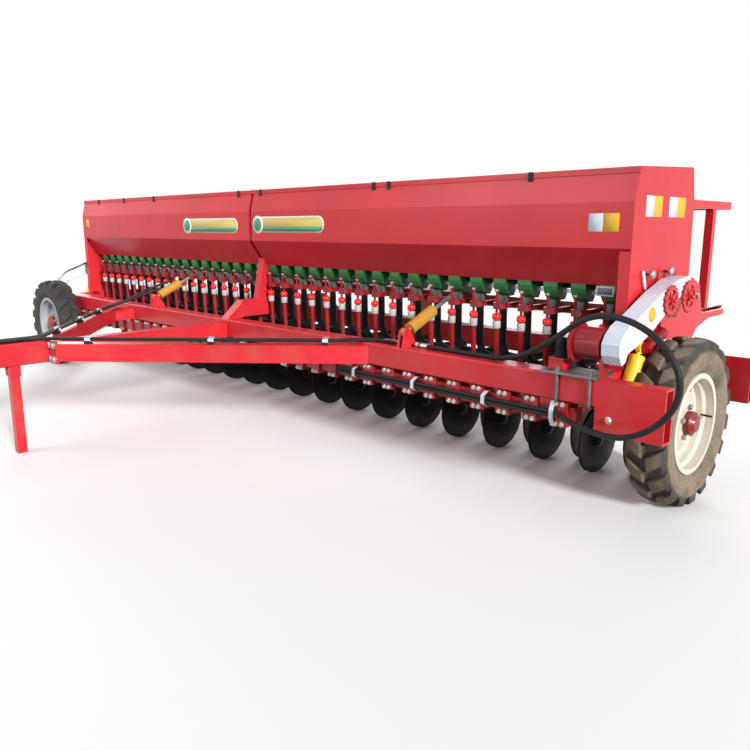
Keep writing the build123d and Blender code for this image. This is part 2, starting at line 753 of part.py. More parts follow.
def lift_bracket(x):
    """Pair of three cornered plates on the front beam that hold a lift cylinder's base."""
    outline = [
        (BEAM_FRONT + 4, BEAM_TOP),
        (LIFT_BASE_Y - 24, LIFT_BASE_Z + 10),
        (LIFT_BASE_Y - 8, LIFT_BASE_Z + 24),
        (LIFT_BASE_Y + 14, LIFT_BASE_Z + 22),
        (BEAM_BACK - 4, BEAM_TOP),
    ]
    gap = LIFT_EYE_WIDTH / 2 + 1
    plates = [
        along_x(outline, x - gap - PLATE, x - gap),
        along_x(outline, x + gap, x + gap + PLATE),
    ]
    pin = pin_x(LIFT_BASE_Y, LIFT_BASE_Z, LIFT_PIN_RADIUS, x - gap - PLATE - 6, x + gap + PLATE + 6)
    return plates[0] + plates[1] + pin


def cylinder_barrel(x, base, way, length, radius, bore_depth, eye_radius, eye_width, pin_radius, rod_radius):
    """Barrel with its base eye; way is the unit direction (y, z) towards the rod."""
    start = eye_radius + 16

    def at(distance):
        return (x, base[0] + way[0] * distance, base[1] + way[1] * distance)

    eye = pin_x(base[0], base[1], eye_radius, x - eye_width / 2, x + eye_width / 2)
    neck = round_bar(at(0), at(start + 2), eye_width / 2 - 1)
    barrel = round_bar(at(start), at(length), radius)
    bore = round_bar(at(length - bore_depth), at(length + 1), rod_radius + PIN_RUNNING_GAP)
    hole = pin_x(base[0], base[1], pin_radius + PIN_RUNNING_GAP, x - eye_width, x + eye_width)
    return eye + neck + barrel - bore - hole


def cylinder_rod(x, base, tip, start, eye_radius, eye_width, pin_radius, rod_radius, pin_half):
    """Rod with its eye and pin; it starts inside the barrel's gland."""
    y, z, reach = unit(base, tip)

    def at(distance):
        return (x, base[0] + y * distance, base[1] + z * distance)

    rod = round_bar(at(start), at(reach - eye_radius - 26), rod_radius)
    rod += round_bar(at(reach - eye_radius - 30), at(reach - eye_radius * 0.5), eye_width / 2 - 1)
    eye = pin_x(tip[0], tip[1], eye_radius, x - eye_width / 2, x + eye_width / 2)
    pin = pin_x(tip[0], tip[1], pin_radius, x - pin_half, x + pin_half)
    return rod + eye + pin


def lift_barrel(x):
    base, _, way = lift_geometry()
    return cylinder_barrel(
        x,
        base,
        way,
        LIFT_BARREL_LENGTH,
        LIFT_BARREL_RADIUS,
        LIFT_BORE_DEPTH,
        LIFT_EYE_RADIUS,
        LIFT_EYE_WIDTH,
        LIFT_PIN_RADIUS,
        LIFT_ROD_RADIUS,
    )


def lift_rod(x):
    base, horn, _ = lift_geometry()
    return cylinder_rod(
        x,
        base,
        horn,
        LIFT_BARREL_LENGTH - LIFT_BORE_DEPTH + 8,
        LIFT_EYE_RADIUS,
        LIFT_EYE_WIDTH,
        LIFT_PIN_RADIUS,
        LIFT_ROD_RADIUS,
        LIFT_EYE_WIDTH / 2 + 12,
    )


def raise_geometry():
    """Top pin and lower eye of a wheel cylinder as (y, z)."""
    return (RAISE_TOP_Y, RAISE_TOP_Z), (WHEEL_EYE_Y, WHEEL_EYE_Z)


def arm_middle():
    return ARM_INNER + WHEEL_ARM_WIDTH / 2


def wheel_arm():
    """Swing arm: pivot boss at the back, wheel axle in the middle, fork at the front."""
    half = WHEEL_ARM_DEPTH / 2
    outline = [
        (WHEEL_PIVOT_Y + 10, WHEEL_PIVOT_Z + half),
        (WHEEL_PIVOT_Y + 38, WHEEL_PIVOT_Z),
        (WHEEL_PIVOT_Y + 10, WHEEL_PIVOT_Z - half),
        (WHEEL_Y + 40, TYRE_RADIUS - half),
        (WHEEL_Y - 40, TYRE_RADIUS - half),
        (WHEEL_EYE_Y + 70, WHEEL_EYE_Z - half * 0.7),
        (WHEEL_EYE_Y + 70, WHEEL_EYE_Z + half * 0.7),
        (WHEEL_Y - 20, TYRE_RADIUS + half),
    ]
    outer = ARM_INNER + WHEEL_ARM_WIDTH
    arm = along_x(outline, ARM_INNER, outer)
    arm += pin_x(WHEEL_PIVOT_Y, WHEEL_PIVOT_Z, PIVOT_BOSS_RADIUS, HALF_SPAN + 1, outer)
    arm -= pin_x(
        WHEEL_PIVOT_Y, WHEEL_PIVOT_Z, PIVOT_PIN_RADIUS + PIN_RUNNING_GAP, HALF_SPAN, outer + 1
    )
    hole = RAISE_PIN_RADIUS + RAISE_DRIFT
    for start in (ARM_INNER, outer - PLATE):
        cheek = box(
            (start, start + PLATE),
            (WHEEL_EYE_Y - 30, WHEEL_EYE_Y + 71),
            (WHEEL_EYE_Z - half * 0.7, WHEEL_EYE_Z + half * 0.7),
        )
        arm += cheek - pin_x(WHEEL_EYE_Y, WHEEL_EYE_Z, hole, start - 1, start + PLATE + 1)
    axle = pin_x(WHEEL_Y, TYRE_RADIUS, AXLE_RADIUS, outer, WHEEL_X + 50)
    return arm + axle


def arm_pivot():
    """Pin of the wheel arm, welded to the side rail."""
    outer = ARM_INNER + WHEEL_ARM_WIDTH
    pin = pin_x(WHEEL_PIVOT_Y, WHEEL_PIVOT_Z, PIVOT_PIN_RADIUS, HALF_SPAN, outer + 8)
    cap = pin_x(WHEEL_PIVOT_Y, WHEEL_PIVOT_Z, PIVOT_PIN_RADIUS + 14, outer + TOUCH_GAP, outer + 8)
    return pin + cap


def raise_stay():
    """Round stay on the end sheet with two ears and the wheel cylinder's top pin."""
    x = arm_middle()
    gap = raise_eye_width() / 2 + 2
    stay = round_bar((x, RAISE_TOP_Y + 44, RAISE_TOP_Z - 22), (x, 296, RAISE_TOP_Z + 45), RAISE_STAY_RADIUS)
    pin = pin_x(RAISE_TOP_Y, RAISE_TOP_Z, RAISE_PIN_RADIUS, x - gap - 8, x + gap + 8)
    gusset = box((HALF_SPAN, x), (160, 300), (RAISE_TOP_Z - 16, RAISE_TOP_Z + 34))
    ear = [
        (RAISE_TOP_Y - 15, RAISE_TOP_Z + 12),
        (RAISE_TOP_Y, RAISE_TOP_Z + 24),
        (RAISE_TOP_Y + 50, RAISE_TOP_Z + 8),
        (RAISE_TOP_Y + 90, RAISE_TOP_Z - 10),
        (RAISE_TOP_Y + 50, RAISE_TOP_Z - 40),
        (RAISE_TOP_Y - 10, RAISE_TOP_Z - 16),
    ]
    ears = [along_x(ear, start, start + 8) for start in (x - gap - 8, x + gap)]
    return stay + pin + gusset + ears[0] + ears[1]


def raise_eye_width():
    return WHEEL_ARM_WIDTH - 2 * PLATE - 3


def raise_barrel():
    base, tip = raise_geometry()
    y, z, _ = unit(base, tip)
    return cylinder_barrel(
        arm_middle(),
        base,
        (y, z),
        RAISE_BARREL_LENGTH,
        RAISE_BARREL_RADIUS,
        RAISE_BORE_DEPTH,
        RAISE_EYE_RADIUS,
        raise_eye_width(),
        RAISE_PIN_RADIUS,
        RAISE_ROD_RADIUS,
    )


def raise_rod():
    base, tip = raise_geometry()
    return cylinder_rod(
        arm_middle(),
        base,
        tip,
        RAISE_BARREL_LENGTH - RAISE_BORE_DEPTH + 8,
        RAISE_EYE_RADIUS,
        raise_eye_width(),
        RAISE_PIN_RADIUS,
        RAISE_ROD_RADIUS,
        WHEEL_ARM_WIDTH / 2,
    )


def tyre():
    """Tyre about the X axis at the origin: a straight sided casing and two rows of blocks."""
    tread = TYRE_RADIUS - LUG_HEIGHT
    half = TREAD_WIDTH / 2
    wide = TYRE_WIDTH / 2
    bead = RIM_RADIUS - 18 + TOUCH_GAP
    seat = wide - 28
    profile = [
        (bead, -seat),
        (RIM_RADIUS + 2, -seat),
        (RIM_RADIUS + 42, -wide),
        (tread - 38, -wide),
        (tread, -half),
        (tread, half),
        (tread - 38, wide),
        (RIM_RADIUS + 42, wide),
        (RIM_RADIUS + 2, seat),
        (bead, seat),
    ]
    casing = revolve(Plane.XZ * Polygon(*profile, align=None), Axis.Z)
    sweep_angle = math.radians(LUG_SWEEP)
    corner_y = (LUG_WIDTH / 2 - 6) * math.cos(sweep_angle) + LUG_LENGTH / 2 * math.sin(sweep_angle)
    corner_x = LUG_WIDTH / 2 * math.sin(sweep_angle) + LUG_LENGTH / 2 * math.cos(sweep_angle)
    top = math.sqrt(TYRE_RADIUS**2 - corner_y**2)
    block = [
        (tread - 8, -LUG_WIDTH / 2),
        (top, -LUG_WIDTH / 2 + 6),
        (top, LUG_WIDTH / 2 - 6),
        (tread - 8, LUG_WIDTH / 2),
    ]
    for side in (-1, 1):
        for index in range(LUG_COUNT):
            turn = 360 / LUG_COUNT * (index + 0.25 * side)
            face = Plane.XY * Polygon(*block, align=None)
            lug = extrude(face, amount=LUG_LENGTH / 2, both=True)
            lug = Rot(side * LUG_SWEEP, 0, 0) * lug
            casing += Rot(0, 0, turn) * Pos(0, 0, side * (wide - 1 - corner_x)) * lug
    return Rot(0, 90, 0) * casing


def rim():
    """Pressed wheel about the X axis at the origin: rim, dished disc with vents and hub."""
    wide = TYRE_WIDTH / 2 - 28
    flange = RIM_RADIUS
    seat = RIM_RADIUS - 18
    profile = [
        (flange, -wide - 10),
        (flange, -wide),
        (seat, -wide),
        (seat, -wide + 30),
        (RIM_WELL_RADIUS, -wide + 40),
        (RIM_WELL_RADIUS, wide - 40),
        (seat, wide - 30),
        (seat, wide),
        (flange, wide),
        (flange, wide + 10),
        (seat - RIM_WALL, wide + 10),
        (seat - RIM_WALL, wide - 28),
        (RIM_WELL_RADIUS - RIM_WALL, wide - 40),
        (RIM_WELL_RADIUS - RIM_WALL, -wide + 40),
        (seat - RIM_WALL, -wide + 28),
        (seat - RIM_WALL, -wide - 10),
    ]
    band = revolve(Plane.XZ * Polygon(*profile, align=None), Axis.Z)
    bend = (WHEEL_DISH_RADIUS + RIM_WELL_RADIUS) / 2
    dish = [
        (AXLE_RADIUS + PIN_RUNNING_GAP, 18),
        (AXLE_RADIUS + PIN_RUNNING_GAP, 30),
        (WHEEL_DISH_RADIUS, 30),
        (bend, -4),
        (RIM_WELL_RADIUS - RIM_WALL, -8),
        (RIM_WELL_RADIUS - RIM_WALL, -16),
        (bend, -14),
        (WHEEL_DISH_RADIUS - 4, 18),
    ]
    disc = revolve(Plane.XZ * Polygon(*dish, align=None), Axis.Z)
    for index in range(5):
        disc -= Rot(0, 0, 72 * index) * Pos(RIM_WELL_RADIUS - 32, 0, -10) * Cylinder(17, 30)
    hub = Pos(0, 0, 10) * Cylinder(HUB_BARREL_RADIUS, 96)
    hub -= Cylinder(AXLE_RADIUS + PIN_RUNNING_GAP, 200)
    cap = Pos(0, 0, 58) * Cylinder(34, 16, align=(Align.CENTER, Align.CENTER, Align.MIN))
    return Rot(0, 90, 0) * (band + disc + hub + cap)


def far_axle():
    """Stub axle and bracket for towing endwise, bolted under the front beam's far end."""
    x = FAR_WHEEL_X
    back = BEAM_FRONT - 8
    axle = round_bar((x, back, TYRE_RADIUS), (x, FAR_WHEEL_Y - 50, TYRE_RADIUS), AXLE_RADIUS)
    post = box((x - 45, x + 45), (BEAM_FRONT - 18, BEAM_FRONT), (TYRE_RADIUS - 50, BEAM_TOP - 6))
    return axle + post


def drawbar_arm_near():
    """Straight arm of the A shaped drawbar, square to the ground, cut to meet the beam."""
    outer = [(HEAD_WIDTH + 50, DRAW_JOINT_Y), (DRAW_REACH_X, BEAM_FRONT)]
    x, y, _ = unit(outer[0], outer[1])
    shift = (-y * DRAW_ARM_WIDTH, x * DRAW_ARM_WIDTH)
    start = (outer[0][0] + shift[0], outer[0][1] + shift[1])
    end_x = start[0] + (BEAM_FRONT - start[1]) * x / y
    inner_x = TONGUE_WIDTH / 2
    inner_y = start[1] + (inner_x - start[0]) * y / x
    outline = [(inner_x, DRAW_JOINT_Y), outer[0], outer[1], (end_x, BEAM_FRONT), (inner_x, inner_y)]
    return along_z(outline, DRAW_BOTTOM, DRAW_BOTTOM + DRAW_HEIGHT)


def drawbar_arm_far():
    """Far arm, which ends in a short stub square to the beam."""
    corner = (DRAW_REACH_X - 15, BEAM_FRONT - DRAW_STUB)
    outer = [(HEAD_WIDTH + 50, DRAW_JOINT_Y), corner]
    x, y, _ = unit(outer[0], outer[1])
    shift = (-y * DRAW_ARM_WIDTH, x * DRAW_ARM_WIDTH)
    start = (outer[0][0] + shift[0], outer[0][1] + shift[1])
    inner_x = TONGUE_WIDTH / 2
    inner_y = start[1] + (inner_x - start[0]) * y / x
    stub_x = corner[0] - DRAW_ARM_WIDTH
    stub_y = start[1] + (stub_x - start[0]) * y / x
    outline = [
        (inner_x, DRAW_JOINT_Y),
        outer[0],
        corner,
        (corner[0], BEAM_FRONT),
        (stub_x, BEAM_FRONT),
        (stub_x, stub_y),
        (inner_x, inner_y),
    ]
    return far_side(along_z(outline, DRAW_BOTTOM, DRAW_BOTTOM + DRAW_HEIGHT))


def drawbar_tongue():
    half = TONGUE_WIDTH / 2
    return box((-half, half), (DRAW_JOINT_Y, BEAM_FRONT), (DRAW_BOTTOM, DRAW_BOTTOM + DRAW_HEIGHT))


def drawbar_head():
    """Front tube bolted to the A frame, with the towing eye and the parking leg's ears."""
    half = HEAD_WIDTH / 2
    plate_back = DRAW_JOINT_Y
    plate = box(
        (-HEAD_WIDTH - 50, HEAD_WIDTH + 50),
        (plate_back - JOINT_PLATE, plate_back),
        (HEAD_BOTTOM, HEAD_BOTTOM + HEAD_HEIGHT),
    )
    beam = tube(
        (-half, half), (HEAD_FRONT, plate_back - JOINT_PLATE), (HEAD_BOTTOM, HEAD_BOTTOM + HEAD_HEIGHT), Axis.Y
    )
    gap = JACK_SIZE / 2 + 2
    pin = pin_x(JACK_Y, JACK_PIVOT_Z, JACK_PIN_RADIUS, -gap - PLATE - 4, gap + PLATE + 4)
    head = plate + beam + pin
    for start in (-gap - PLATE, gap):
        head += box(
            (start, start + PLATE), (JACK_Y - 30, JACK_Y + 30), (JACK_PIVOT_Z - 24, HEAD_BOTTOM)
        )
    return head


def towing_eye():
    """Forged eye on the front of the head tube."""
    low = EYE_Z - EYE_THICKNESS / 2
    high = EYE_Z + EYE_THICKNESS / 2
    place = Pos(0, EYE_Y, EYE_Z)
    ring = place * (Cylinder(EYE_OUTER, EYE_THICKNESS) - Cylinder(EYE_RADIUS, EYE_THICKNESS + 2))
    shank = box((-36, 36), (EYE_Y + EYE_OUTER - 16, HEAD_FRONT - 16), (low, high))
    flange = box((-50, 50), (HEAD_FRONT - 16, HEAD_FRONT), (EYE_Z - 55, EYE_Z + 55))
    return ring + shank + flange


def jack_leg():
    """Parking leg: a square tube that folds back under the drawbar."""
    half = JACK_SIZE / 2
    leg = box((-half, half), (JACK_Y - half, JACK_Y + half), (GROUND, JACK_PIVOT_Z + half - 4))
    return leg - pin_x(JACK_Y, JACK_PIVOT_Z, JACK_PIN_RADIUS + PIN_RUNNING_GAP, -half - 1, half + 1)


def drum_plate():
    """Bracket on the near end box that carries the drum and the chain guard."""
    outline = [
        (BEAM_FRONT + 6, BEAM_TOP),
        (DRUM_Y - 30, DRUM_Z - 10),
        (DRUM_Y - 22, DRUM_Z + 22),
        (DRUM_Y + 22, DRUM_Z + 22),
        (DRUM_Y + 34, DRUM_Z - 10),
        (BEAM_FRONT + END_BOX_DEPTH, BEAM_TOP),
    ]
    return along_x(outline, BEAM_END, GUARD_INNER)


def drive_drum():
    """Turned drum with its inner flange, on a stub in the bracket."""
    drum = pin_x(DRUM_Y, DRUM_Z, DRUM_RADIUS, DRUM_INNER + 8, BEAM_END)
    return drum + pin_x(DRUM_Y, DRUM_Z, DRUM_FLANGE_RADIUS, DRUM_INNER, DRUM_INNER + 8)


def chain_guard():
    """Pressed cover over the seed drive's chain: round at both ends, open on its inner side."""
    outline = [
        (-222, 706),
        (-248, 745),
        (-252, 792),
        (-230, 826),
        (-182, 861),
        (-61, 905),
        (102, 976),
        (269, 1031),
        (390, 1041),
        (420, 1020),
        (400, 985),
        (310, 950),
        (205, 905),
        (20, 809),
        (-121, 764),
        (-171, 752),
        (-190, 716),
    ]
    shell = along_x(outline, GUARD_INNER, GUARD_INNER + GUARD_WIDTH)
    face = offset(Polygon(*outline, align=None), amount=-GUARD_WALL, kind=Kind.INTERSECTION)
    inside = extrude(
        Plane.YZ.offset(GUARD_INNER - 1) * face, amount=GUARD_WIDTH - GUARD_WALL + 1, dir=(1, 0, 0)
    )
    return shell - inside


def drive_panel():
    """Thick plate beside the hopper that carries the drive's sprockets and the guard."""
    outline = [
        (330, 745),
        (306, 840),
        (250, 925),
        (330, 1005),
        (440, 1005),
        (640, 1020),
        (740, 980),
        (800, 820),
        (700, 716),
    ]
    return along_x(outline, HALF_SPAN, HALF_SPAN + PANEL_THICKNESS)


def sprocket(y, z, teeth, radius):
    """Toothed wheel along X on a boss of the drive panel: a star of 2 points for each tooth."""
    face = HALF_SPAN + PANEL_THICKNESS
    start = face + SPROCKET_GAP
    points = []
    for index in range(teeth * 2):
        reach = radius if index % 2 else radius - 9
        angle = math.tau * index / (teeth * 2)
        points.append((y + reach * math.cos(angle), z + reach * math.sin(angle)))
    wheel = along_x(points, start, start + SPROCKET_THICKNESS)
    return wheel + pin_x(y, z, 22, face, start + SPROCKET_THICKNESS + 6)


def seed_drive():
    """Drive panel with its two sprockets."""
    return drive_panel() + sprocket(440, 905, 13, 62) + sprocket(585, 940, 12, 56)


def rate_lever():
    """Seed rate lever and the two adjusting posts on the hopper's near end sheet."""
    lever = round_bar((HALF_SPAN + 8, 150, 960), (HALF_SPAN + 8, 110, 1066), 6)
    foot = pin_x(150, 960, 12, HALF_SPAN, HALF_SPAN + 14)
    posts = [
        box((HALF_SPAN, HALF_SPAN + 14), (y - 16, y + 16), (1020, 1062)) for y in (270, 460)
    ]
    return [lever + foot] + posts


def walkway():
    """Loading walkway behind the hopper: a long board with a turned down edge."""
    x = HALF_SPAN - 20
    board = box((-x, x), (WALK_FRONT, WALK_BACK), (WALK_TOP - 5, WALK_TOP))
    for y in (WALK_FRONT, WALK_BACK - 5):
        board += box((-x, x), (y, y + 5), (WALK_TOP - WALK_THICKNESS, WALK_TOP - 5))
    return board


def post_places():
    reach = HALF_SPAN - 40
    return [-reach + 2 * reach * index / (WALK_POSTS - 1) for index in range(WALK_POSTS)]


def walkway_brackets():
    """Tapered plates that carry the walkway from the rear beam."""
    top = WALK_TOP - WALK_THICKNESS
    outline = [
        (REAR_BEAM_FRONT + 20, BEAM_TOP),
        (WALK_FRONT + 20, top),
        (WALK_BACK - 6, top),
        (REAR_BEAM_BACK + 90, top - 70),
        (REAR_BEAM_BACK - 10, BEAM_TOP),
    ]
    return group(along_x(outline, x - 6, x + 6) for x in post_places())


def handrail():
    """Top rail behind the walkway on posts, with an arm to the hopper at each end."""
    places = post_places()
    rail_y = WALK_BACK - 4 - RAIL_TUBE
    low = RAIL_TOP - 2 * RAIL_TUBE
    reach = places[-1] + RAIL_TUBE
    rail = box((-reach, reach), (rail_y - RAIL_TUBE, rail_y + RAIL_TUBE), (low, RAIL_TOP))
    for x in places:
        side = (x - RAIL_TUBE, x + RAIL_TUBE)
        at_end = abs(x) > places[-1] - 1
        y = POST_Y if at_end else rail_y
        rail += box(side, (y - RAIL_TUBE, y + RAIL_TUBE), (WALK_TOP, low))
        if at_end:
            rail += box(side, (HOPPER_REAR + TOUCH_GAP, rail_y - RAIL_TUBE), (low, RAIL_TOP))
    return rail


def bar_straps():
    """Plates with U bolts that hang the opener bar from the front beam."""
    solids = []
    for gaps in STRAP_GAPS:
        x = gaps * ROW_PITCH
        solids.append(box((x - 30, x + 30), (BAR_FRONT - 6, BAR_BACK + 6), (BAR_TOP, BEAM_BOTTOM)))
    return group(solids)


def route_tube(points, radius):
    """A hose along straight runs joined by arcs that are as large as its runs allow."""
    corners = [Vector(*point) for point in points]
    radii = []
    for before, here, after in zip(corners, corners[1:], corners[2:]):
        turn = math.radians((here - before).get_angle(after - here))
        run = min((here - before).length, (after - here).length)
        radii.append(0.45 * run / math.tan(turn / 2))
    path = FilletPolyline(*points, radius=radii)
    section = Plane(origin=points[0], z_dir=corners[1] - corners[0]) * Circle(radius)
    return sweep(section, path=path), radii


# Free loop of hose at the near end, from its clip on the opener bar to the near lift cylinder
LOOP_ROUTE = [
    (2612, -264, 466),
    (2706, -292, 446),
    (2818, -330, 438),
    (2947, -380, 448),
    (3048, -410, 484),
    (3140, -430, 550),
    (3200, -440, 634),
    (3212, -445, 721),
    (3179, -446, 802),
    (3108, -442, 876),
    (3004, -430, 923),
    (2889, -410, 934),
    (2791, -380, 907),
    (2709, -340, 860),
    (2620, -300, 804),
    (2530, -260, 752),
    (2446, -230, 708),
    (2356, -208, 674),
    (2250, -196, HOSE_LIE),
    (2140, -190, HOSE_LIE + 1),
    (2030, -186, HOSE_LIE),
    (1920, -183, HOSE_LIE + 1),
    (1830, -180, HOSE_LIE),
    (1745, -176, HOSE_LIE + 1),
]


def hose_loop():
    solid, radii = route_tube(LOOP_ROUTE, HOSE_RADIUS)
    print("hose loop radii", [round(radius) for radius in radii], "volume", round(solid.volume))
    return solid


def held_line(points):
    """A clipped hydraulic line: straight runs with even bends."""
    corners = [Vector(*point) for point in points]
    radii = []
    for before, here, after in zip(corners, corners[1:], corners[2:]):
        turn = math.radians((here - before).get_angle(after - here))
        run = min((here - before).length, (after - here).length)
        radii.append(min(LINE_BEND, 0.45 * run / math.tan(turn / 2)))
    section = Plane(origin=points[0], z_dir=corners[1] - corners[0]) * Circle(LINE_RADIUS)
    return sweep(section, path=FilletPolyline(*points, radius=radii))


def line_clip(x, y, angle, low):
    """Block around two lines side by side on top of a drawbar tube."""
    height = LINE_HEAD + LINE_RADIUS + 5 - low
    width = LINE_PITCH + 2 * LINE_RADIUS + 2
    block = Box(CLIP_LENGTH, width, height, align=(Align.CENTER, Align.CENTER, Align.MIN))
    for side in (LINE_PITCH / 2, -LINE_PITCH / 2):
        bore = Cylinder(LINE_RADIUS + TOUCH_GAP, 2 * CLIP_LENGTH, rotation=(0, 90, 0))
        block -= Pos(0, side, LINE_HEAD - low) * bore
    return Pos(x, y, low) * Rot(0, 0, angle) * block


def near_lines():
    """Two lines from the drawbar's front along its near arm to the near lift cylinder's foot."""
    start_x = 16.0
    edge = (HEAD_WIDTH + 50, DRAW_JOINT_Y)
    x, y, _ = unit(edge, (DRAW_REACH_X, BEAM_FRONT))
    inset = 34.0
    first = (edge[0] - y * inset, edge[1] + x * inset)
    half = LINE_PITCH / 2

    def on_arm(distance, side):
        shift = -side * half
        return (first[0] + x * distance - y * shift, first[1] + y * distance + x * shift)

    solids = []
    for side in (1, -1):
        place = on_arm(0, side)
        line_x = start_x + side * half
        corner_y = place[1] + (line_x - place[0]) * y / x
        low = on_arm(1560, side)
        high = on_arm(1640, side)
        solids.append(
            held_line(
                [
                    (line_x, LINE_START, LINE_HEAD),
                    (line_x, corner_y, LINE_HEAD),
                    (*low, LINE_HEAD),
                    (*high, LINE_BEAM + 1),
                    (LIFT_NEAR_X - 240 + side * 5, BEAM_FRONT + 60 - side * half, LINE_BEAM + 1),
                    (LIFT_NEAR_X - 42, BEAM_FRONT + 78 - side * half, LINE_BEAM),
                ]
            )
        )
    angle = math.degrees(math.atan2(y, x))
    solids += [line_clip(*on_arm(distance, 0), angle, DRAW_TOP) for distance in (160, 860, 1500)]
    solids += [line_clip(start_x, clip_y, 90, HEAD_TOP) for clip_y in (-2150, -1760)]
    return group(solids)


def far_lines():
    """Two lines along the far arm, which rise from its end to the far lift cylinder's ports."""
    start_x = -24.5
    edge = (-HEAD_WIDTH - 50, DRAW_JOINT_Y)
    x, y, _ = unit(edge, (15 - DRAW_REACH_X, BEAM_FRONT - DRAW_STUB))
    inset = 52.0
    first = (edge[0] + y * inset, edge[1] - x * inset)
    half = LINE_PITCH / 2

    def on_arm(distance, side):
        shift = side * half
        return (first[0] + x * distance + y * shift, first[1] + y * distance - x * shift)

    base, _, way = lift_geometry()
    solids = []
    for side, port in ((1, 62), (-1, LIFT_BARREL_LENGTH - 25)):
        place = on_arm(0, side)
        line_x = start_x + side * half
        corner_y = place[1] + (line_x - place[0]) * y / x
        lift = LIFT_BARREL_RADIUS + LINE_RADIUS + 6
        port_y = base[0] + way[0] * port - way[1] * lift
        port_z = base[1] + way[1] * port + way[0] * lift
        end = (LIFT_FAR_X + side * half, port_y, port_z)
        turn = on_arm(1330 - side * 4.9, side)
        solids.append(
            held_line(
                [
                    (line_x, LINE_START, LINE_HEAD),
                    (line_x, corner_y, LINE_HEAD),
                    (*on_arm(1220, side), LINE_HEAD),
                    (turn[0] - 5, turn[1] + 40, LINE_HEAD + 8),
                    (turn[0] + 30 + side * 3, turn[1] + 170, LINE_HEAD + 50),
                    (end[0] - 40 + side * 3, end[1] - 120, end[2] - 45),
                    end,
                ]
            )
        )
    angle = math.degrees(math.atan2(y, x))
    solids += [line_clip(*on_arm(distance, 0), angle, DRAW_TOP) for distance in (180, 690, 1180)]
    solids += [line_clip(start_x, clip_y, 90, HEAD_TOP) for clip_y in (-2150, -1760)]
    return group(solids)


def bar_line():
    """Two hoses side by side along the front of the opener bar."""
    low = PIVOT_Z - LINE_RADIUS - 0.5
    high = PIVOT_Z + LINE_RADIUS + 0.5
    y = BEAM_FRONT - LINE_RADIUS - 0.5
    return group(round_bar((1180, y, z), (2600, y, z), LINE_RADIUS) for z in (low, high))


def save_all():
    save("front_beam", front_beam())
    save("rear_beam", rear_beam())
    save("side_rails", group([side_rail(), far_side(side_rail())]))
    front_box = end_box(BEAM_FRONT)
    rear_box = end_box(REAR_BEAM_BACK - END_BOX_DEPTH)
    save("end_boxes", group([front_box, far_side(front_box), rear_box, far_side(rear_box)]))
    save("centre_cradle", cradle())
    save("centre_post", centre_post())
    shell = hopper_shell()
    save("hopper_near", shell)
    save("hopper_far", far_side(shell))
    cover = lid()
    save("lid_near", cover)
    save("lid_far", far_side(cover))
    plate = end_plate()
    save("end_plates", group([plate, far_side(plate)]))
    save("meter_cups", meter_cups())
    save("feed_shaft", feed_shaft())
    save("seed_funnels", seed_funnels())
    save("seed_tubes_near", seed_tubes(NEAR_ROWS))
    save("seed_tubes_far", seed_tubes(FAR_ROWS))
    save("opener_bar", opener_bar())
    save("opener_clamps", opener_clamps())
    save("bar_straps", bar_straps())
    for name, rows, lift_x in (("near", NEAR_ROWS, LIFT_NEAR_X), ("far", FAR_ROWS, LIFT_FAR_X)):
        save(f"opener_arms_{name}", opener_arms(rows))
        save(f"opener_discs_{name}", opener_discs(rows))
        save(f"press_rods_{name}", press_rods(rows))
        save(f"rockshaft_{name}", rockshaft(rows, lift_x))
        save(f"lift_barrel_{name}", lift_barrel(lift_x))
        save(f"lift_rod_{name}", lift_rod(lift_x))
    save("lift_brackets", group([lift_bracket(LIFT_NEAR_X), lift_bracket(LIFT_FAR_X)]))
    save("shaft_bearings", group([bearing_centre(), bearing_end(), far_side(bearing_end())]))
    arm = wheel_arm()
    save("wheel_arm_near", arm)
    save("wheel_arm_far", far_side(arm))
    save("arm_pivots", group([arm_pivot(), far_side(arm_pivot())]))
    save("raise_stays", group([raise_stay(), far_side(raise_stay())]))
    barrel = raise_barrel()
    save("raise_barrel_near", barrel)
    save("raise_barrel_far", far_side(barrel))
    rod = raise_rod()
    save("raise_rod_near", rod)
    save("raise_rod_far", far_side(rod))
    save("hose_loop", hose_loop())
    save("bar_hoses", bar_line())
    save("drawbar_hoses", group([near_lines(), far_lines()]))
    save("tyre_near", Pos(WHEEL_X, WHEEL_Y, TYRE_RADIUS) * tyre())
    save("rim_near", Pos(WHEEL_X, WHEEL_Y, TYRE_RADIUS) * rim())
    turned = Rot(0, 0, -90)
    save("tyre_far", Pos(FAR_WHEEL_X, FAR_WHEEL_Y, TYRE_RADIUS) * turned * tyre())
    save("rim_far", Pos(FAR_WHEEL_X, FAR_WHEEL_Y, TYRE_RADIUS) * turned * rim())
    save("far_axle", far_axle())
    save("drawbar_arms", group([drawbar_arm_near(), drawbar_arm_far()]))
    save("drawbar_tongue", drawbar_tongue())
    save("drawbar_head", drawbar_head())
    save("towing_eye", towing_eye())
    save("jack_leg", jack_leg())
    save("drive_drum", drum_plate() + drive_drum())
    guard = chain_guard()
    save("chain_guards", group([guard, far_side(guard)]))
    save("seed_drive", group([seed_drive(), far_side(drive_panel())] + rate_lever()))
    save("walkway", walkway())
    save("walkway_brackets", walkway_brackets())
    save("handrail", handrail())


save_all()
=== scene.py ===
import json
import math

import bmesh
import bpy
import numpy as np
from bpy.props import FloatProperty, FloatVectorProperty, IntProperty, PointerProperty
from bpy.types import Operator, Panel, PropertyGroup
from mathutils import Matrix, Vector


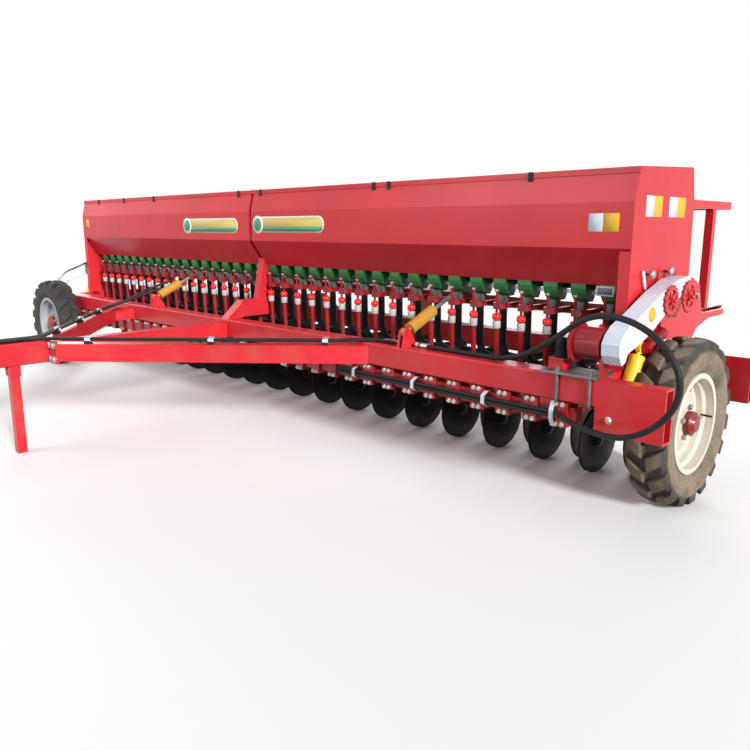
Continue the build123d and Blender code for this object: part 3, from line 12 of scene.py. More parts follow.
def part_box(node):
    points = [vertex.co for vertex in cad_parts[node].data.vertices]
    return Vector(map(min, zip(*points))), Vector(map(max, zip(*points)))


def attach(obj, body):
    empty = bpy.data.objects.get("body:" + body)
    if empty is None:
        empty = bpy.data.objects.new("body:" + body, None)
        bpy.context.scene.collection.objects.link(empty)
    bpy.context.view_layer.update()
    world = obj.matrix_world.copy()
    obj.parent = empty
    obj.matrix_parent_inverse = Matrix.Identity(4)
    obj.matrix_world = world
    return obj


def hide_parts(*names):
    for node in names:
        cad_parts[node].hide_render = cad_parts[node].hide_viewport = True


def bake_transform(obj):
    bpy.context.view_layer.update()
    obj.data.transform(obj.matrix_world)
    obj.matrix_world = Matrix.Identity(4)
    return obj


bl_info = {
    "name": "Towed Seed Drill",
    "version": (1, 0, 0),
    "blender": (4, 5, 0),
    "location": "View3D > Sidebar > Drill",
    "description": "Dresses a towed seed drill over its packed frame",
    "category": "Object",
}

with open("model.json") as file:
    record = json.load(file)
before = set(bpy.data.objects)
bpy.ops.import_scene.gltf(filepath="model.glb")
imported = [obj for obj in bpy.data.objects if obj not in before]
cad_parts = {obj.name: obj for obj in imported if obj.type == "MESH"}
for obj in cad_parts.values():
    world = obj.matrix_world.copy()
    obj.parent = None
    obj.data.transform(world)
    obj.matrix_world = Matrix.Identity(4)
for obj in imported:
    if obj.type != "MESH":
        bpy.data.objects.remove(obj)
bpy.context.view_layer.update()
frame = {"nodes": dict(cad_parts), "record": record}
NODES = frame["nodes"]

# Metres in the frame's own axes: +X to the drill's near end, +Y backwards, +Z up.
# Places that the source measures from the hopper's front face are moved back by FACE_Y.
FACE_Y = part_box("hopper_near")[0][1]
ROWS = 36
ROW_PITCH = 0.150
ROW_X = (np.arange(ROWS) - (ROWS - 1) / 2) * ROW_PITCH
NEAR_X = ROW_X[ROW_X > 0]
FAR_X = ROW_X[ROW_X < 0]
FRONT_HUB = FACE_Y + 0.400
REAR_HUB = FACE_Y + 0.580
FUNNEL_Y = FACE_Y + 0.165
FUNNEL_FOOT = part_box("seed_funnels")[0][2]
BEAM_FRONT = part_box("front_beam")[0][1]
BEAM_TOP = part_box("front_beam")[1][2]
END_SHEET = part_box("end_plates")[1][0]
SLEEVE_TOP = 0.800
TAG_X = 2.613
LATCH_X = (-2.45, -1.94, -1.40, -0.16, 0.10, 1.20, 1.32, 2.25)

# The camera that the photograph was fitted with
CAMERA_PLACE = (4.1613, FACE_Y - 2.9141, 1.2590)
CAMERA_TURN = 0.78748
CAMERA_TILT = 0.20692
CAMERA_LENS = 33.71


class DrillSizes(PropertyGroup):
    """Sizes of the pieces that the scene adds"""

    disc_radius: FloatProperty(
        name="Disc radius", description="Outer radius of an opener disc", default=0.175, unit="LENGTH"
    )
    disc_thickness: FloatProperty(
        name="Disc thickness", description="Thickness of an opener disc", default=0.0034, unit="LENGTH"
    )
    disc_toe: FloatProperty(
        name="Disc toe in", description="Angle of each disc to its row", default=math.radians(3.6), unit="ROTATION"
    )
    tyre_radius: FloatProperty(
        name="Tyre radius", description="Radius over the tread blocks", default=0.390, unit="LENGTH"
    )
    tyre_width: FloatProperty(
        name="Tyre width", description="Widest part of the tyre", default=0.178, unit="LENGTH"
    )
    tread_depth: FloatProperty(
        name="Tread depth", description="Height of the tread blocks", default=0.026, unit="LENGTH"
    )
    tread_blocks: IntProperty(
        name="Tread blocks", description="Blocks around one side of the tyre", default=18, min=8, max=40
    )
    tube_radius: FloatProperty(
        name="Seed tube radius", description="Radius over a seed tube's ribs", default=0.0225, unit="LENGTH"
    )
    tube_rib: FloatProperty(
        name="Seed tube rib", description="Distance between a seed tube's ribs", default=0.011, unit="LENGTH"
    )
    hose_radius: FloatProperty(
        name="Hose radius", description="Radius of the loose hydraulic hose", default=0.0125, unit="LENGTH"
    )
    bolt_radius: FloatProperty(
        name="Bolt radius", description="Radius over the corners of a bolt's head", default=0.0095, unit="LENGTH"
    )


class DrillColours(PropertyGroup):
    """Colours of the drill's finishes"""

    red: FloatVectorProperty(
        name="Red paint", description="Paint of the frame and hopper", subtype="COLOR", default=(0.57, 0.016, 0.026)
    )
    dark_red: FloatVectorProperty(
        name="Dark red paint", description="Paint of rods and drum", subtype="COLOR", default=(0.25, 0.006, 0.012)
    )
    green: FloatVectorProperty(
        name="Meter green", description="Seed meter housings", subtype="COLOR", default=(0.012, 0.17, 0.035)
    )
    grey: FloatVectorProperty(
        name="Funnel grey", description="Seed funnels", subtype="COLOR", default=(0.16, 0.14, 0.135)
    )
    black: FloatVectorProperty(
        name="Black rubber", description="Tubes and hoses", subtype="COLOR", default=(0.012, 0.012, 0.014)
    )
    disc: FloatVectorProperty(
        name="Disc black", description="Paint of the discs", subtype="COLOR", default=(0.006, 0.006, 0.007)
    )
    steel: FloatVectorProperty(
        name="Steel", description="Plated and ground steel", subtype="COLOR", default=(0.55, 0.55, 0.54)
    )
    ochre: FloatVectorProperty(
        name="Ochre paint", description="Lift cylinders", subtype="COLOR", default=(0.50, 0.24, 0.035)
    )
    yellow: FloatVectorProperty(
        name="Yellow paint", description="Wheel cylinders", subtype="COLOR", default=(0.85, 0.60, 0.02)
    )
    white: FloatVectorProperty(
        name="White paint", description="Chain guard", subtype="COLOR", default=(0.60, 0.68, 0.78)
    )
    dust: FloatVectorProperty(
        name="Dust", description="Dry soil on the near tyre", subtype="COLOR", default=(0.23, 0.175, 0.12)
    )
    tyre: FloatVectorProperty(
        name="Tyre rubber", description="Clean tyre rubber", subtype="COLOR", default=(0.022, 0.020, 0.019)
    )
    cream: FloatVectorProperty(
        name="Rim cream", description="Paint of the near rim", subtype="COLOR", default=(0.70, 0.65, 0.55)
    )
    silver: FloatVectorProperty(
        name="Rim silver", description="Paint of the far rim", subtype="COLOR", default=(0.36, 0.38, 0.41)
    )
    nylon: FloatVectorProperty(
        name="White nylon", description="Straps around the hoses", subtype="COLOR", default=(0.66, 0.73, 0.80)
    )


def sizes():
    return bpy.context.scene.drill_sizes


def colours():
    return bpy.context.scene.drill_colours


class Shape:
    """Points with the quads and triangles that join them."""

    def __init__(self, points, quads=(), tris=()):
        self.points = np.asarray(points, dtype=float).reshape(-1, 3)
        self.quads = np.asarray(quads, dtype=np.int64).reshape(-1, 4)
        self.tris = np.asarray(tris, dtype=np.int64).reshape(-1, 3)

    def moved(self, place):
        return Shape(self.points + np.asarray(place, dtype=float), self.quads, self.tris)

    def turned(self, matrix):
        return Shape(self.points @ np.asarray(matrix, dtype=float).T, self.quads, self.tris)

    def at_each(self, places):
        """The same shape at every place in a list, as one shape."""
        places = np.asarray(places, dtype=float).reshape(-1, 3)
        count = len(self.points)
        steps = (np.arange(len(places)) * count)[:, None, None]
        points = (self.points[None] + places[:, None]).reshape(-1, 3)
        return Shape(points, (self.quads[None] + steps).reshape(-1, 4), (self.tris[None] + steps).reshape(-1, 3))


def joined(shapes):
    """Several shapes as one, with their point numbers shifted past each other."""
    starts = np.cumsum([0] + [len(shape.points) for shape in shapes])
    points = np.concatenate([shape.points for shape in shapes])
    quads = np.concatenate([shape.quads + start for shape, start in zip(shapes, starts)])
    tris = np.concatenate([shape.tris + start for shape, start in zip(shapes, starts)])
    return Shape(points, quads, tris)


def grid_shape(grid, around=True, closed=False, capped=True):
    """A grid of points P(u, v): quads join neighbours, v wraps if around, u wraps if closed, and
    each open end is capped by a fan to its mean point."""
    rows, columns = grid.shape[:2]
    index = np.arange(rows * columns).reshape(rows, columns)
    first = index if closed else index[:-1]
    second = np.roll(index, -1, axis=0) if closed else index[1:]
    if around:
        next_first = np.roll(first, -1, axis=1)
        next_second = np.roll(second, -1, axis=1)
    else:
        first, next_first = first[:, :-1], first[:, 1:]
        second, next_second = second[:, :-1], second[:, 1:]
    quads = np.stack([first, next_first, next_second, second], axis=-1).reshape(-1, 4)
    points = grid.reshape(-1, 3)
    tris = np.zeros((0, 3), dtype=np.int64)
    if capped and around and not closed:
        centres = np.stack([grid[0].mean(axis=0), grid[-1].mean(axis=0)])
        base = len(points)
        points = np.concatenate([points, centres])
        low = np.stack([np.roll(index[0], -1), index[0], np.full(columns, base)], axis=-1)
        high = np.stack([index[-1], np.roll(index[-1], -1), np.full(columns, base + 1)], axis=-1)
        tris = np.concatenate([low, high])
    return Shape(points, quads, tris)


def lathe(profile, segments, closed=False):
    """A profile of (radius, along) pairs turned about the X axis: y is radius times cosine and
    z is radius times sine of the turn."""
    profile = np.asarray(profile, dtype=float)
    turn = np.linspace(0, math.tau, segments, endpoint=False)
    along = np.repeat(profile[:, 1:2], segments, axis=1)
    grid = np.stack([along, profile[:, :1] * np.cos(turn), profile[:, :1] * np.sin(turn)], axis=-1)
    return grid_shape(grid, closed=closed)


def block(low, high):
    """A box between two corners."""
    low, high = np.asarray(low, dtype=float), np.asarray(high, dtype=float)
    square = np.array([[0, 0], [1, 0], [1, 1], [0, 1]], dtype=float)
    unit = np.stack([np.column_stack([square, np.full(4, level)]) for level in (0.0, 1.0)])
    return grid_shape(low + unit * (high - low))


def swept(path, radii, sides):
    """A round section carried along a path: at each point two directions square to the path's
    own are mixed by the cosine and sine of the turn and scaled by the radius there."""
    path = np.asarray(path, dtype=float)
    radii = np.broadcast_to(np.asarray(radii, dtype=float), (len(path),))
    ahead = np.gradient(path, axis=0)
    ahead /= np.linalg.norm(ahead, axis=1, keepdims=True)
    reference = np.eye(3)[np.argmin(np.abs(ahead).max(axis=0))]
    side = np.cross(ahead, reference)
    side /= np.linalg.norm(side, axis=1, keepdims=True)
    up = np.cross(ahead, side)
    turn = np.linspace(0, math.tau, sides, endpoint=False)
    ring = side[:, None] * np.cos(turn)[None, :, None] + up[:, None] * np.sin(turn)[None, :, None]
    return grid_shape(path[:, None] + ring * radii[:, None, None])


def smooth_route(points, step):
    """Points at even steps along a route whose corners are eased by three-point averaging."""
    points = np.asarray(points, dtype=float)
    lengths = np.concatenate([[0], np.cumsum(np.linalg.norm(np.diff(points, axis=0), axis=1))])
    count = max(int(lengths[-1] / step), 8)
    places = np.linspace(0, lengths[-1], count)
    route = np.stack([np.interp(places, lengths, points[:, axis]) for axis in range(3)], axis=-1)
    reach = 5
    kernel = np.ones(2 * reach + 1) / (2 * reach + 1)
    padded = np.concatenate([2 * route[:1] - route[reach:0:-1], route, 2 * route[-1:] - route[-2:-reach - 2:-1]])
    return np.stack([np.convolve(padded[:, axis], kernel, mode="valid") for axis in range(3)], axis=-1)


def make_object(name, shape, material, body, sharp=None):
    """A mesh object from a shape, which rides on a body of the drill. Its edges stay sharp past
    the angle sharp in degrees: with None every face is smooth, and with 0 every face is flat."""
    mesh = bpy.data.meshes.new(name)
    corners = np.concatenate([shape.quads.reshape(-1), shape.tris.reshape(-1)])
    quad_count, tri_count = len(shape.quads), len(shape.tris)
    totals = np.concatenate([np.full(quad_count, 4), np.full(tri_count, 3)])
    starts = np.concatenate([[0], np.cumsum(totals)[:-1]])
    mesh.vertices.add(len(shape.points))
    mesh.vertices.foreach_set("co", shape.points.reshape(-1))
    mesh.loops.add(len(corners))
    mesh.loops.foreach_set("vertex_index", corners.astype(np.int32))
    mesh.polygons.add(quad_count + tri_count)
    mesh.polygons.foreach_set("loop_start", starts.astype(np.int32))
    mesh.update(calc_edges=True)
    mesh.validate()
    scratch = bmesh.new()
    scratch.from_mesh(mesh)
    bmesh.ops.recalc_face_normals(scratch, faces=scratch.faces)
    scratch.to_mesh(mesh)
    scratch.free()
    if sharp == 0:
        mesh.shade_flat()
    else:
        mesh.shade_smooth()
        if sharp:
            mesh.set_sharp_from_angle(angle=math.radians(sharp))
    piece = bpy.data.objects.new(name, mesh)
    bpy.context.scene.collection.objects.link(piece)
    piece.data.materials.append(material)
    if body:
        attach(piece, body)
    return piece


def add_piece(name, shape, slot, body="frame", sharp=35):
    """A piece with the finish of one of the record's slots."""
    return make_object(name, shape, finishes()[slot], body, sharp)


def bevelled(piece, width):
    """Rounds a piece's edges in two steps."""
    bevel = piece.modifiers.new("edges", "BEVEL")
    bevel.width = width
    bevel.segments = 2


def shader_node(tree, kind, operation, *inputs):
    """Adds a Math or VectorMath node and fills its sockets in order with links or values."""
    node = tree.nodes.new("ShaderNode" + kind)
    node.operation = operation
    for value, socket in zip(inputs, node.inputs):
        if isinstance(value, bpy.types.NodeSocket):
            tree.links.new(value, socket)
        else:
            socket.default_value = value
    return node.outputs["Value" if operation == "LENGTH" else 0]


class Nodes:
    """Short calls that add shader nodes to a material and link them."""

    def __init__(self, name):
        self.material = bpy.data.materials.get(name)
        self.is_new = self.material is None
        if self.is_new:
            self.material = bpy.data.materials.new(name)
            self.material.use_nodes = True
            self.tree = self.material.node_tree
            self.shader = self.tree.nodes["Principled BSDF"]
            self.coords = self.add("ShaderNodeTexCoord")

    def add(self, kind, **inputs):
        node = self.tree.nodes.new(kind)
        for key, value in inputs.items():
            node.inputs[key.replace("_", " ")].default_value = value
        return node

    def link(self, source, target):
        self.tree.links.new(source, target)

    def noise(self, scale, detail=3.0, roughness=0.55):
        node = self.add("ShaderNodeTexNoise", Scale=scale, Detail=detail, Roughness=roughness)
        self.link(self.coords.outputs["Object"], node.inputs["Vector"])
        return node.outputs["Fac"]

    def ramp(self, source, low, high):
        node = self.add("ShaderNodeMapRange")
        node.clamp = True
        node.inputs["From Min"].default_value = low
        node.inputs["From Max"].default_value = high
        self.link(source, node.inputs["Value"])
        return node.outputs["Result"]

    def mix(self, factor, low, high):
        """Mixes two colours, each a colour value or a socket, by a factor socket."""
        node = self.tree.nodes.new("ShaderNodeMix")
        node.data_type = "RGBA"
        self.link(factor, node.inputs["Factor"])
        for value, socket in ((low, node.inputs[6]), (high, node.inputs[7])):
            if isinstance(value, bpy.types.NodeSocket):
                self.link(value, socket)
            else:
                socket.default_value = (*value, 1)
        return node.outputs[2]

    def math(self, operation, *inputs):
        return shader_node(self.tree, "Math", operation, *inputs)

    def scaled(self, source, factor, offset=0.0):
        return self.math("MULTIPLY_ADD", source, factor, offset)

    def distance(self, factors, offset):
        """How far a point lies from the origin, once it is stretched by factors and moved."""
        moved = shader_node(
            self.tree, "VectorMath", "MULTIPLY_ADD", self.coords.outputs["Object"], factors, offset
        )
        return shader_node(self.tree, "VectorMath", "LENGTH", moved)

    def place(self, axis):
        """The point's own place along X, Y or Z."""
        node = self.add("ShaderNodeSeparateXYZ")
        self.link(self.coords.outputs["Object"], node.inputs[0])
        return node.outputs[axis]

    def bump(self, source, distance, strength=0.3):
        """Relief on top of any relief before it."""
        node = self.add("ShaderNodeBump", Strength=strength, Distance=distance)
        self.link(source, node.inputs["Height"])
        normal = self.shader.inputs["Normal"]
        if normal.is_linked:
            self.link(normal.links[0].from_socket, node.inputs["Normal"])
        self.link(node.outputs["Normal"], normal)

    def colour(self, socket):
        self.link(socket, self.shader.inputs["Base Color"])

    def set(self, **inputs):
        for key, value in inputs.items():
            self.shader.inputs[key.replace("_", " ")].default_value = value


def middle(node):
    """Middle of a CAD node's box."""
    low, high = np.array(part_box(node))
    return (low + high) / 2


def shade(colour, factor):
    return tuple(min(1.0, part * factor) for part in colour)


def paint(name, colour, roughness=0.38, coat=0.14, dusty=0.30):
    """Sprayed paint over sheet steel: faint mottling, shallow dents, fine ripple, and dust that
    lies in patches, thicker towards the ground."""
    nodes = Nodes(name)
    if nodes.is_new:
        base = nodes.mix(nodes.ramp(nodes.noise(1.7), 0.3, 0.7), shade(colour, 0.88), shade(colour, 1.10))
        low = nodes.scaled(nodes.ramp(nodes.place("Z"), 1.0, 0.25), 0.9 * dusty, 0.1 * dusty)
        patches = nodes.math("MULTIPLY", nodes.ramp(nodes.noise(6.0, 7.0), 0.46, 0.80), low)
        nodes.colour(nodes.mix(patches, base, (0.30, 0.20, 0.15)))
        rough = nodes.scaled(nodes.noise(9.0, 4.0), 0.16, roughness - 0.08)
        nodes.link(rough, nodes.shader.inputs["Roughness"])
        nodes.bump(nodes.noise(1.9, 2.0), 0.030, 0.10)
        nodes.bump(nodes.noise(220.0, 2.0), 0.0004, 0.12)
        nodes.set(Coat_Weight=coat, Coat_Roughness=0.14, Specular_IOR_Level=0.35)
    return nodes.material


def metal(name, colour, roughness=0.32):
    """Bare or plated steel with fine scratches and darker stains."""
    nodes = Nodes(name)
    if nodes.is_new:
        stains = nodes.ramp(nodes.noise(14.0, 6.0), 0.35, 0.75)
        nodes.colour(nodes.mix(stains, colour, shade(colour, 0.55)))
        nodes.link(nodes.scaled(nodes.noise(60.0, 5.0), 0.3, roughness - 0.1), nodes.shader.inputs["Roughness"])
        nodes.set(Metallic=0.9)
    return nodes.material


def rubber(name, colour, dust, amount, centre, radius):
    """Matt tyre rubber with dry soil on its walls and on the tops of its blocks: both are told from the grooves by how
    far a point lies
    from the wheel's middle line. The tread gets less of it than the walls and the grooves least, which is partly
    painted shade:
    the dust on the walls and block tops is real, and the darker tread and grooves are painted shade."""
    nodes = Nodes(name)
    if nodes.is_new:
        away = nodes.distance((0.0, 1.0, 1.0), (0.0, -centre[1], -centre[2]))
        top = nodes.scaled(nodes.ramp(away, radius - 0.016, radius - 0.006), 0.62, 0.14)
        wall = nodes.ramp(away, radius - 0.048, radius - 0.062)
        share = nodes.math("MAXIMUM", top, wall)
        patches = nodes.ramp(nodes.noise(9.0, 8.0, 0.65), 0.60 - 0.5 * amount, 0.80 - 0.3 * amount)
        fine = nodes.mix(nodes.ramp(nodes.noise(70.0, 4.0), 0.3, 0.7), shade(dust, 0.74), shade(dust, 1.18))
        # Dust share: real dust on the walls and block tops, and painted shade that keeps the tread and its grooves
        # darker.
        dust_and_shade_cover = nodes.scaled(nodes.math("MULTIPLY", patches, share), min(amount * 1.1, 1.0))
        nodes.colour(nodes.mix(dust_and_shade_cover, colour, fine))
        nodes.bump(nodes.noise(160.0, 4.0), 0.0010, 0.35)
        nodes.set(Roughness=0.78)
    return nodes.material


def plastic(name, colour, roughness=0.42, gloss=0.5):
    """Moulded plastic or smooth rubber, slightly uneven in colour."""
    nodes = Nodes(name)
    if nodes.is_new:
        nodes.colour(nodes.mix(nodes.noise(18.0), shade(colour, 0.8), shade(colour, 1.2)))
        nodes.bump(nodes.noise(120.0, 3.0), 0.0004, 0.15)
        nodes.set(Roughness=roughness, Specular_IOR_Level=gloss)
    return nodes.material


def flat_colour(name, colour, roughness=0.4):
    """A printed or painted patch of one even colour."""
    nodes = Nodes(name)
    if nodes.is_new:
        nodes.colour(nodes.mix(nodes.noise(30.0), shade(colour, 0.95), shade(colour, 1.03)))
        nodes.set(Roughness=roughness)
    return nodes.material


def tread_plate():
    """Dull steel plate with a raised pattern of staggered blocks."""
    nodes = Nodes("tread plate")
    if nodes.is_new:
        steel = shade(tuple(colours().steel), 0.45)
        nodes.colour(nodes.mix(nodes.ramp(nodes.noise(11.0, 6.0), 0.4, 0.7), steel, (0.16, 0.12, 0.095)))
        weave = nodes.add("ShaderNodeTexBrick", Scale=18.0, Mortar_Size=0.18, Mortar_Smooth=0.6)
        nodes.link(nodes.coords.outputs["Object"], weave.inputs["Vector"])
        nodes.bump(weave.outputs["Fac"], 0.0025, 0.6)
        nodes.set(Metallic=0.7, Roughness=0.5)
    return nodes.material


def disc_finish(name, soil):
    """Dark painted steel discs with tan-brown spots over a share of their faces that the second argument sets."""
    nodes = Nodes(name)
    if nodes.is_new:
        colour = tuple(colours().disc)
        spots = nodes.ramp(nodes.noise(16.0, 6.0, 0.6), 0.62 - 0.3 * soil, 0.80 - 0.2 * soil)
        nodes.colour(nodes.mix(nodes.scaled(spots, soil), colour, (0.24, 0.13, 0.065)))
        nodes.bump(nodes.noise(90.0, 4.0), 0.0006, 0.25)
        nodes.set(Roughness=0.34 + 0.25 * soil)
    return nodes.material


def finishes():
    """Material of each of the record's slots."""
    c = colours()
    tread = sizes().tyre_radius
    return {
        "red_paint": paint("red paint", tuple(c.red)),
        "dark_red_paint": paint("dark red paint", tuple(c.dark_red)),
        "green_plastic": plastic("meter green", tuple(c.green), 0.35),
        "grey_plastic": plastic("funnel grey", tuple(c.grey), 0.4),
        "black_rubber": plastic("black rubber", tuple(c.black), 0.55, 0.22),
        "disc_steel": disc_finish("disc black", 0.10),
        "bright_steel": metal("bright steel", tuple(c.steel)),
        "ochre_paint": paint("ochre paint", tuple(c.ochre)),
        "yellow_paint": paint("yellow paint", tuple(c.yellow), dusty=0.1),
        "white_paint": paint("white paint", tuple(c.white), dusty=0.08),
        "dusty_tyre": rubber("dusty tyre", tuple(c.tyre), tuple(c.dust), 0.9, middle("tyre_near"), tread),
        "dark_tyre": rubber("dark tyre", tuple(c.tyre), tuple(c.dust), 0.15, middle("tyre_far"), tread),
        "cream_paint": paint("cream paint", tuple(c.cream), dusty=0.35),
    }


class DRILL_OT_finishes(Operator):
    """Gives every carried-over part its paint, rubber, plastic or steel"""

    bl_idname = "drill.finishes"
    bl_label = "Finishes"

    def execute(self, context):
        slots = finishes()
        for part in frame["record"]["subparts"]:
            piece = NODES[part["node"]]
            piece.data.materials.clear()
            piece.data.materials.append(slots[part["material_slot"]])
        NODES["rim_far"].data.materials[0] = paint("silver paint", tuple(colours().silver), dusty=0.2)
        # A darker copy of the red paint: painted shade on the clamps, the opener bar, the rockshafts and the opener
        # arms under the hopper.
        painted_shade_red = paint("red paint with painted shade", shade(tuple(colours().red), 0.62), dusty=0.35)
        for name in ("opener_clamps", "opener_bar"):
            NODES[name].data.materials[0] = painted_shade_red
        for end in ("near", "far"):
            NODES["rockshaft_" + end].data.materials[0] = painted_shade_red
            NODES["opener_arms_" + end].data.materials[0] = painted_shade_red
        NODES["walkway"].data.materials[0] = tread_plate()
        return {"FINISHED"}


# Width of the tyre that the profile below draws
CASING_WIDTH = 0.178


def tyre_grid(radius, width, depth, blocks):
    """Tyre about the X axis: a casing profile P(v) of radius and half width, and for each turn u
    the radius rises from the casing to the tread's crown wherever the block pattern of slanting
    bands, one set each side of the middle, is above its threshold."""
    casing_radius = radius - depth
    control = np.array([
        [0.000, 0.2155, -0.0590],
        [0.045, 0.2340, -0.0615],
        [0.110, 0.2680, -0.0840],
        [0.180, 0.3000, -0.0890],
        [0.250, 0.3280, -0.0860],
        [0.300, 0.3440, -0.0790],
        [0.345, casing_radius - 0.004, -0.0660],
        [0.500, casing_radius, 0.0000],
    ])
    mirrored = control[-2::-1] * [1, 1, -1]
    mirrored[:, 0] = 1 - mirrored[:, 0]
    control = np.concatenate([control, mirrored])
    across = np.linspace(0, 1, 73)
    base = np.interp(across, control[:, 0], control[:, 1])
    side = np.interp(across, control[:, 0], control[:, 2]) * (width / CASING_WIDTH)
    turn = np.linspace(0, math.tau, 540, endpoint=False)
    u, v = np.meshgrid(turn, np.arange(len(across)), indexing="ij")
    x = side[v]
    casing = base[v]
    phase = u * blocks / math.tau + np.where(x > 0, 0.5, 0.0) + 5.5 * np.abs(x)
    wave = np.abs((phase % 1.0) - 0.5) * 2
    band = np.clip((0.60 - wave) / 0.07, 0, 1)
    centre_rib = np.clip((np.abs(x) - 0.004) / 0.004, 0, 1)
    reach = np.clip((casing - 0.322) / 0.010, 0, 1)
    crown = radius - 0.0012 - 0.020 * (np.abs(x) / (CASING_WIDTH / 2)) ** 4
    level = casing + (crown - casing) * band * centre_rib * reach
    return np.stack([x, level * np.cos(u), level * np.sin(u)], axis=-1)


def tyre_shape():
    s = sizes()
    outer = tyre_grid(s.tyre_radius, s.tyre_width, s.tread_depth, s.tread_blocks)
    return grid_shape(np.transpose(outer, (1, 0, 2)), closed=True, capped=False)


# Turns that bring a shape's +X axis to -Y and to +Z
TO_MINUS_Y = np.array([[0.0, 1.0, 0.0], [-1.0, 0.0, 0.0], [0.0, 0.0, 1.0]])
TO_PLUS_Z = np.array([[0.0, 0.0, -1.0], [0.0, 1.0, 0.0], [1.0, 0.0, 0.0]])


def wheel_centres():
    """Middle of each tyre's box, with the turn from the near wheel's stance to its own."""
    turns = (("near", np.eye(3)), ("far", TO_MINUS_Y))
    return {end: (middle("tyre_" + end), turn) for end, turn in turns}


class DRILL_OT_tyres(Operator):
    """Tyres with slanting tread blocks, dusty at the near end and clean at the far end"""

    bl_idname = "drill.tyres"
    bl_label = "Tyres"

    def execute(self, context):
        for end, (centre, turn) in wheel_centres().items():
            slot = "dusty_tyre" if end == "near" else "dark_tyre"
            shape = tyre_shape().turned(turn).moved(centre)
            tyre = add_piece("tread_tyre_" + end, shape, slot, "wheel_" + end, None)
            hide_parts("tyre_" + end)
        return {"FINISHED"}


def hex_bolt(radius, height):
    """Bolt head on +X with a washer: a six sided head with a chamfered rim over a round disc."""
    head = lathe([(radius, 0.0018), (radius, height * 0.8), (radius * 0.86, height)], 6)
    washer = lathe([(radius * 1.25, 0.0), (radius * 1.25, 0.0016), (radius * 1.15, 0.002)], 14)
    return joined([head, washer])


def turn_about_z(turn):
    """Matrix of a turn about the Z axis."""
    sine, cosine = math.sin(turn), math.cos(turn)
    return np.array([[cosine, -sine, 0.0], [sine, cosine, 0.0], [0.0, 0.0, 1.0]])


class DRILL_OT_wheel_trim(Operator):
    """Red hubs, dust caps, wheel nuts and valves of both wheels"""

    bl_idname = "drill.wheel_trim"
    bl_label = "Hubs and nuts"

    def execute(self, context):
        hub = lathe([
            (0.0555, 0.0305), (0.0555, 0.052), (0.0535, 0.0588), (0.036, 0.0592), (0.0350, 0.0745), (0.030, 0.0752),
        ], 48)
        nut = lathe([(0.013, 0.029), (0.013, 0.044), (0.011, 0.047)], 6)
        turn = math.tau / 5 * np.arange(5) + 0.3
        nuts = nut.at_each(np.stack([np.zeros(5), 0.074 * np.cos(turn), 0.074 * np.sin(turn)], axis=-1))
        valve = swept([(0.020, 0.190, 0.0), (0.050, 0.184, 0.0), (0.072, 0.183, 0.0)], 0.005, 10)
        for end, (centre, to_end) in wheel_centres().items():
            for name, shape, slot, sharp in (
                ("hub_", hub, "dark_red_paint", None),
                ("nuts_", nuts, "bright_steel", 35),
                ("valve_", valve, "black_rubber", None),
            ):
                add_piece(name + end, shape.turned(to_end).moved(centre), slot, "wheel_" + end, sharp)
        return {"FINISHED"}


def is_front(x):
    """Every second row is in the front rank, counted from the near end."""
    return np.round((ROW_X[-1] - x) / ROW_PITCH).astype(int) % 2 == 1


def disc_shape():
    """Disc about X: a flat plate whose rim thins to an edge over its last 14 mm."""
    s = sizes()
    half = s.disc_thickness / 2
    radius = s.disc_radius
    rim, edge, hole = radius - 0.014, 0.0004, 0.030
    return lathe([(hole, -half), (rim, -half), (radius, -edge), (radius, edge), (rim, half), (hole, half)], 72)


class DRILL_OT_discs(Operator):
    """Round disc pairs with hub caps"""

    bl_idname = "drill.discs"
    bl_label = "Opener discs"

    def execute(self, context):
        s = sizes()
        offset = s.disc_radius * math.sin(s.disc_toe) + 0.0035
        cap = lathe([(0.036, 0.0), (0.036, 0.006), (0.026, 0.011), (0.010, 0.012)], 24)
        cap = cap.moved((s.disc_thickness / 2, 0, 0))
        for end, rows in (("near", NEAR_X), ("far", FAR_X)):
            front = is_front(rows)
            for rank, chosen, hub_y, finish in (
                ("front", rows[front], FRONT_HUB, finishes()["disc_steel"]),
                # The rear rank's discs get tan-brown spots over most of their faces, and the front rank's discs get
                # few.
                ("rear", rows[~front], REAR_HUB, disc_finish("disc tan film", 0.85)),
            ):
                solids = []
                for side in (-1, 1):
                    toed = turn_about_z(-side * s.disc_toe)
                    outward = cap.turned(toed @ np.diag([side, side, 1.0]))
                    places = [(x + side * offset, hub_y, s.disc_radius) for x in chosen]
                    solids.append(joined([disc_shape().turned(toed), outward]).at_each(places))
                name = "discs_%s_%s" % (rank, end)
                piece = make_object(name, joined(solids), finish, "openers_" + end, 30)
                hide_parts("opener_discs_" + end)
        return {"FINISHED"}


def tube_route(hub_y):
    """Middle line of a seed tube from its funnel to the boot behind a hub, at row X of 0."""
    top = FUNNEL_FOOT
    funnel_y = FUNNEL_Y
    boot_y = hub_y + 0.035
    return [
        (0, funnel_y, top),
        (0, funnel_y + 0.004, top - 0.175),
        (0, funnel_y + 0.018 + 0.04 * (boot_y - funnel_y), top - 0.255),
        (0, funnel_y + 0.45 * (boot_y - funnel_y), top - 0.300),
        (0, boot_y - 0.012, 0.540),
        (0, boot_y, 0.520),
        (0, boot_y, 0.4724),
    ]


def ribbed_tube(hub_y):
    """Corrugated tube: the radius swings between its ribs' crest and root along the route."""
    s = sizes()
    route = smooth_route(tube_route(hub_y), s.tube_rib / 3)
    wave = np.tile([1.0, 0.90, 0.90], len(route) // 3 + 1)[: len(route)]
    return swept(route, s.tube_radius * wave, 12)


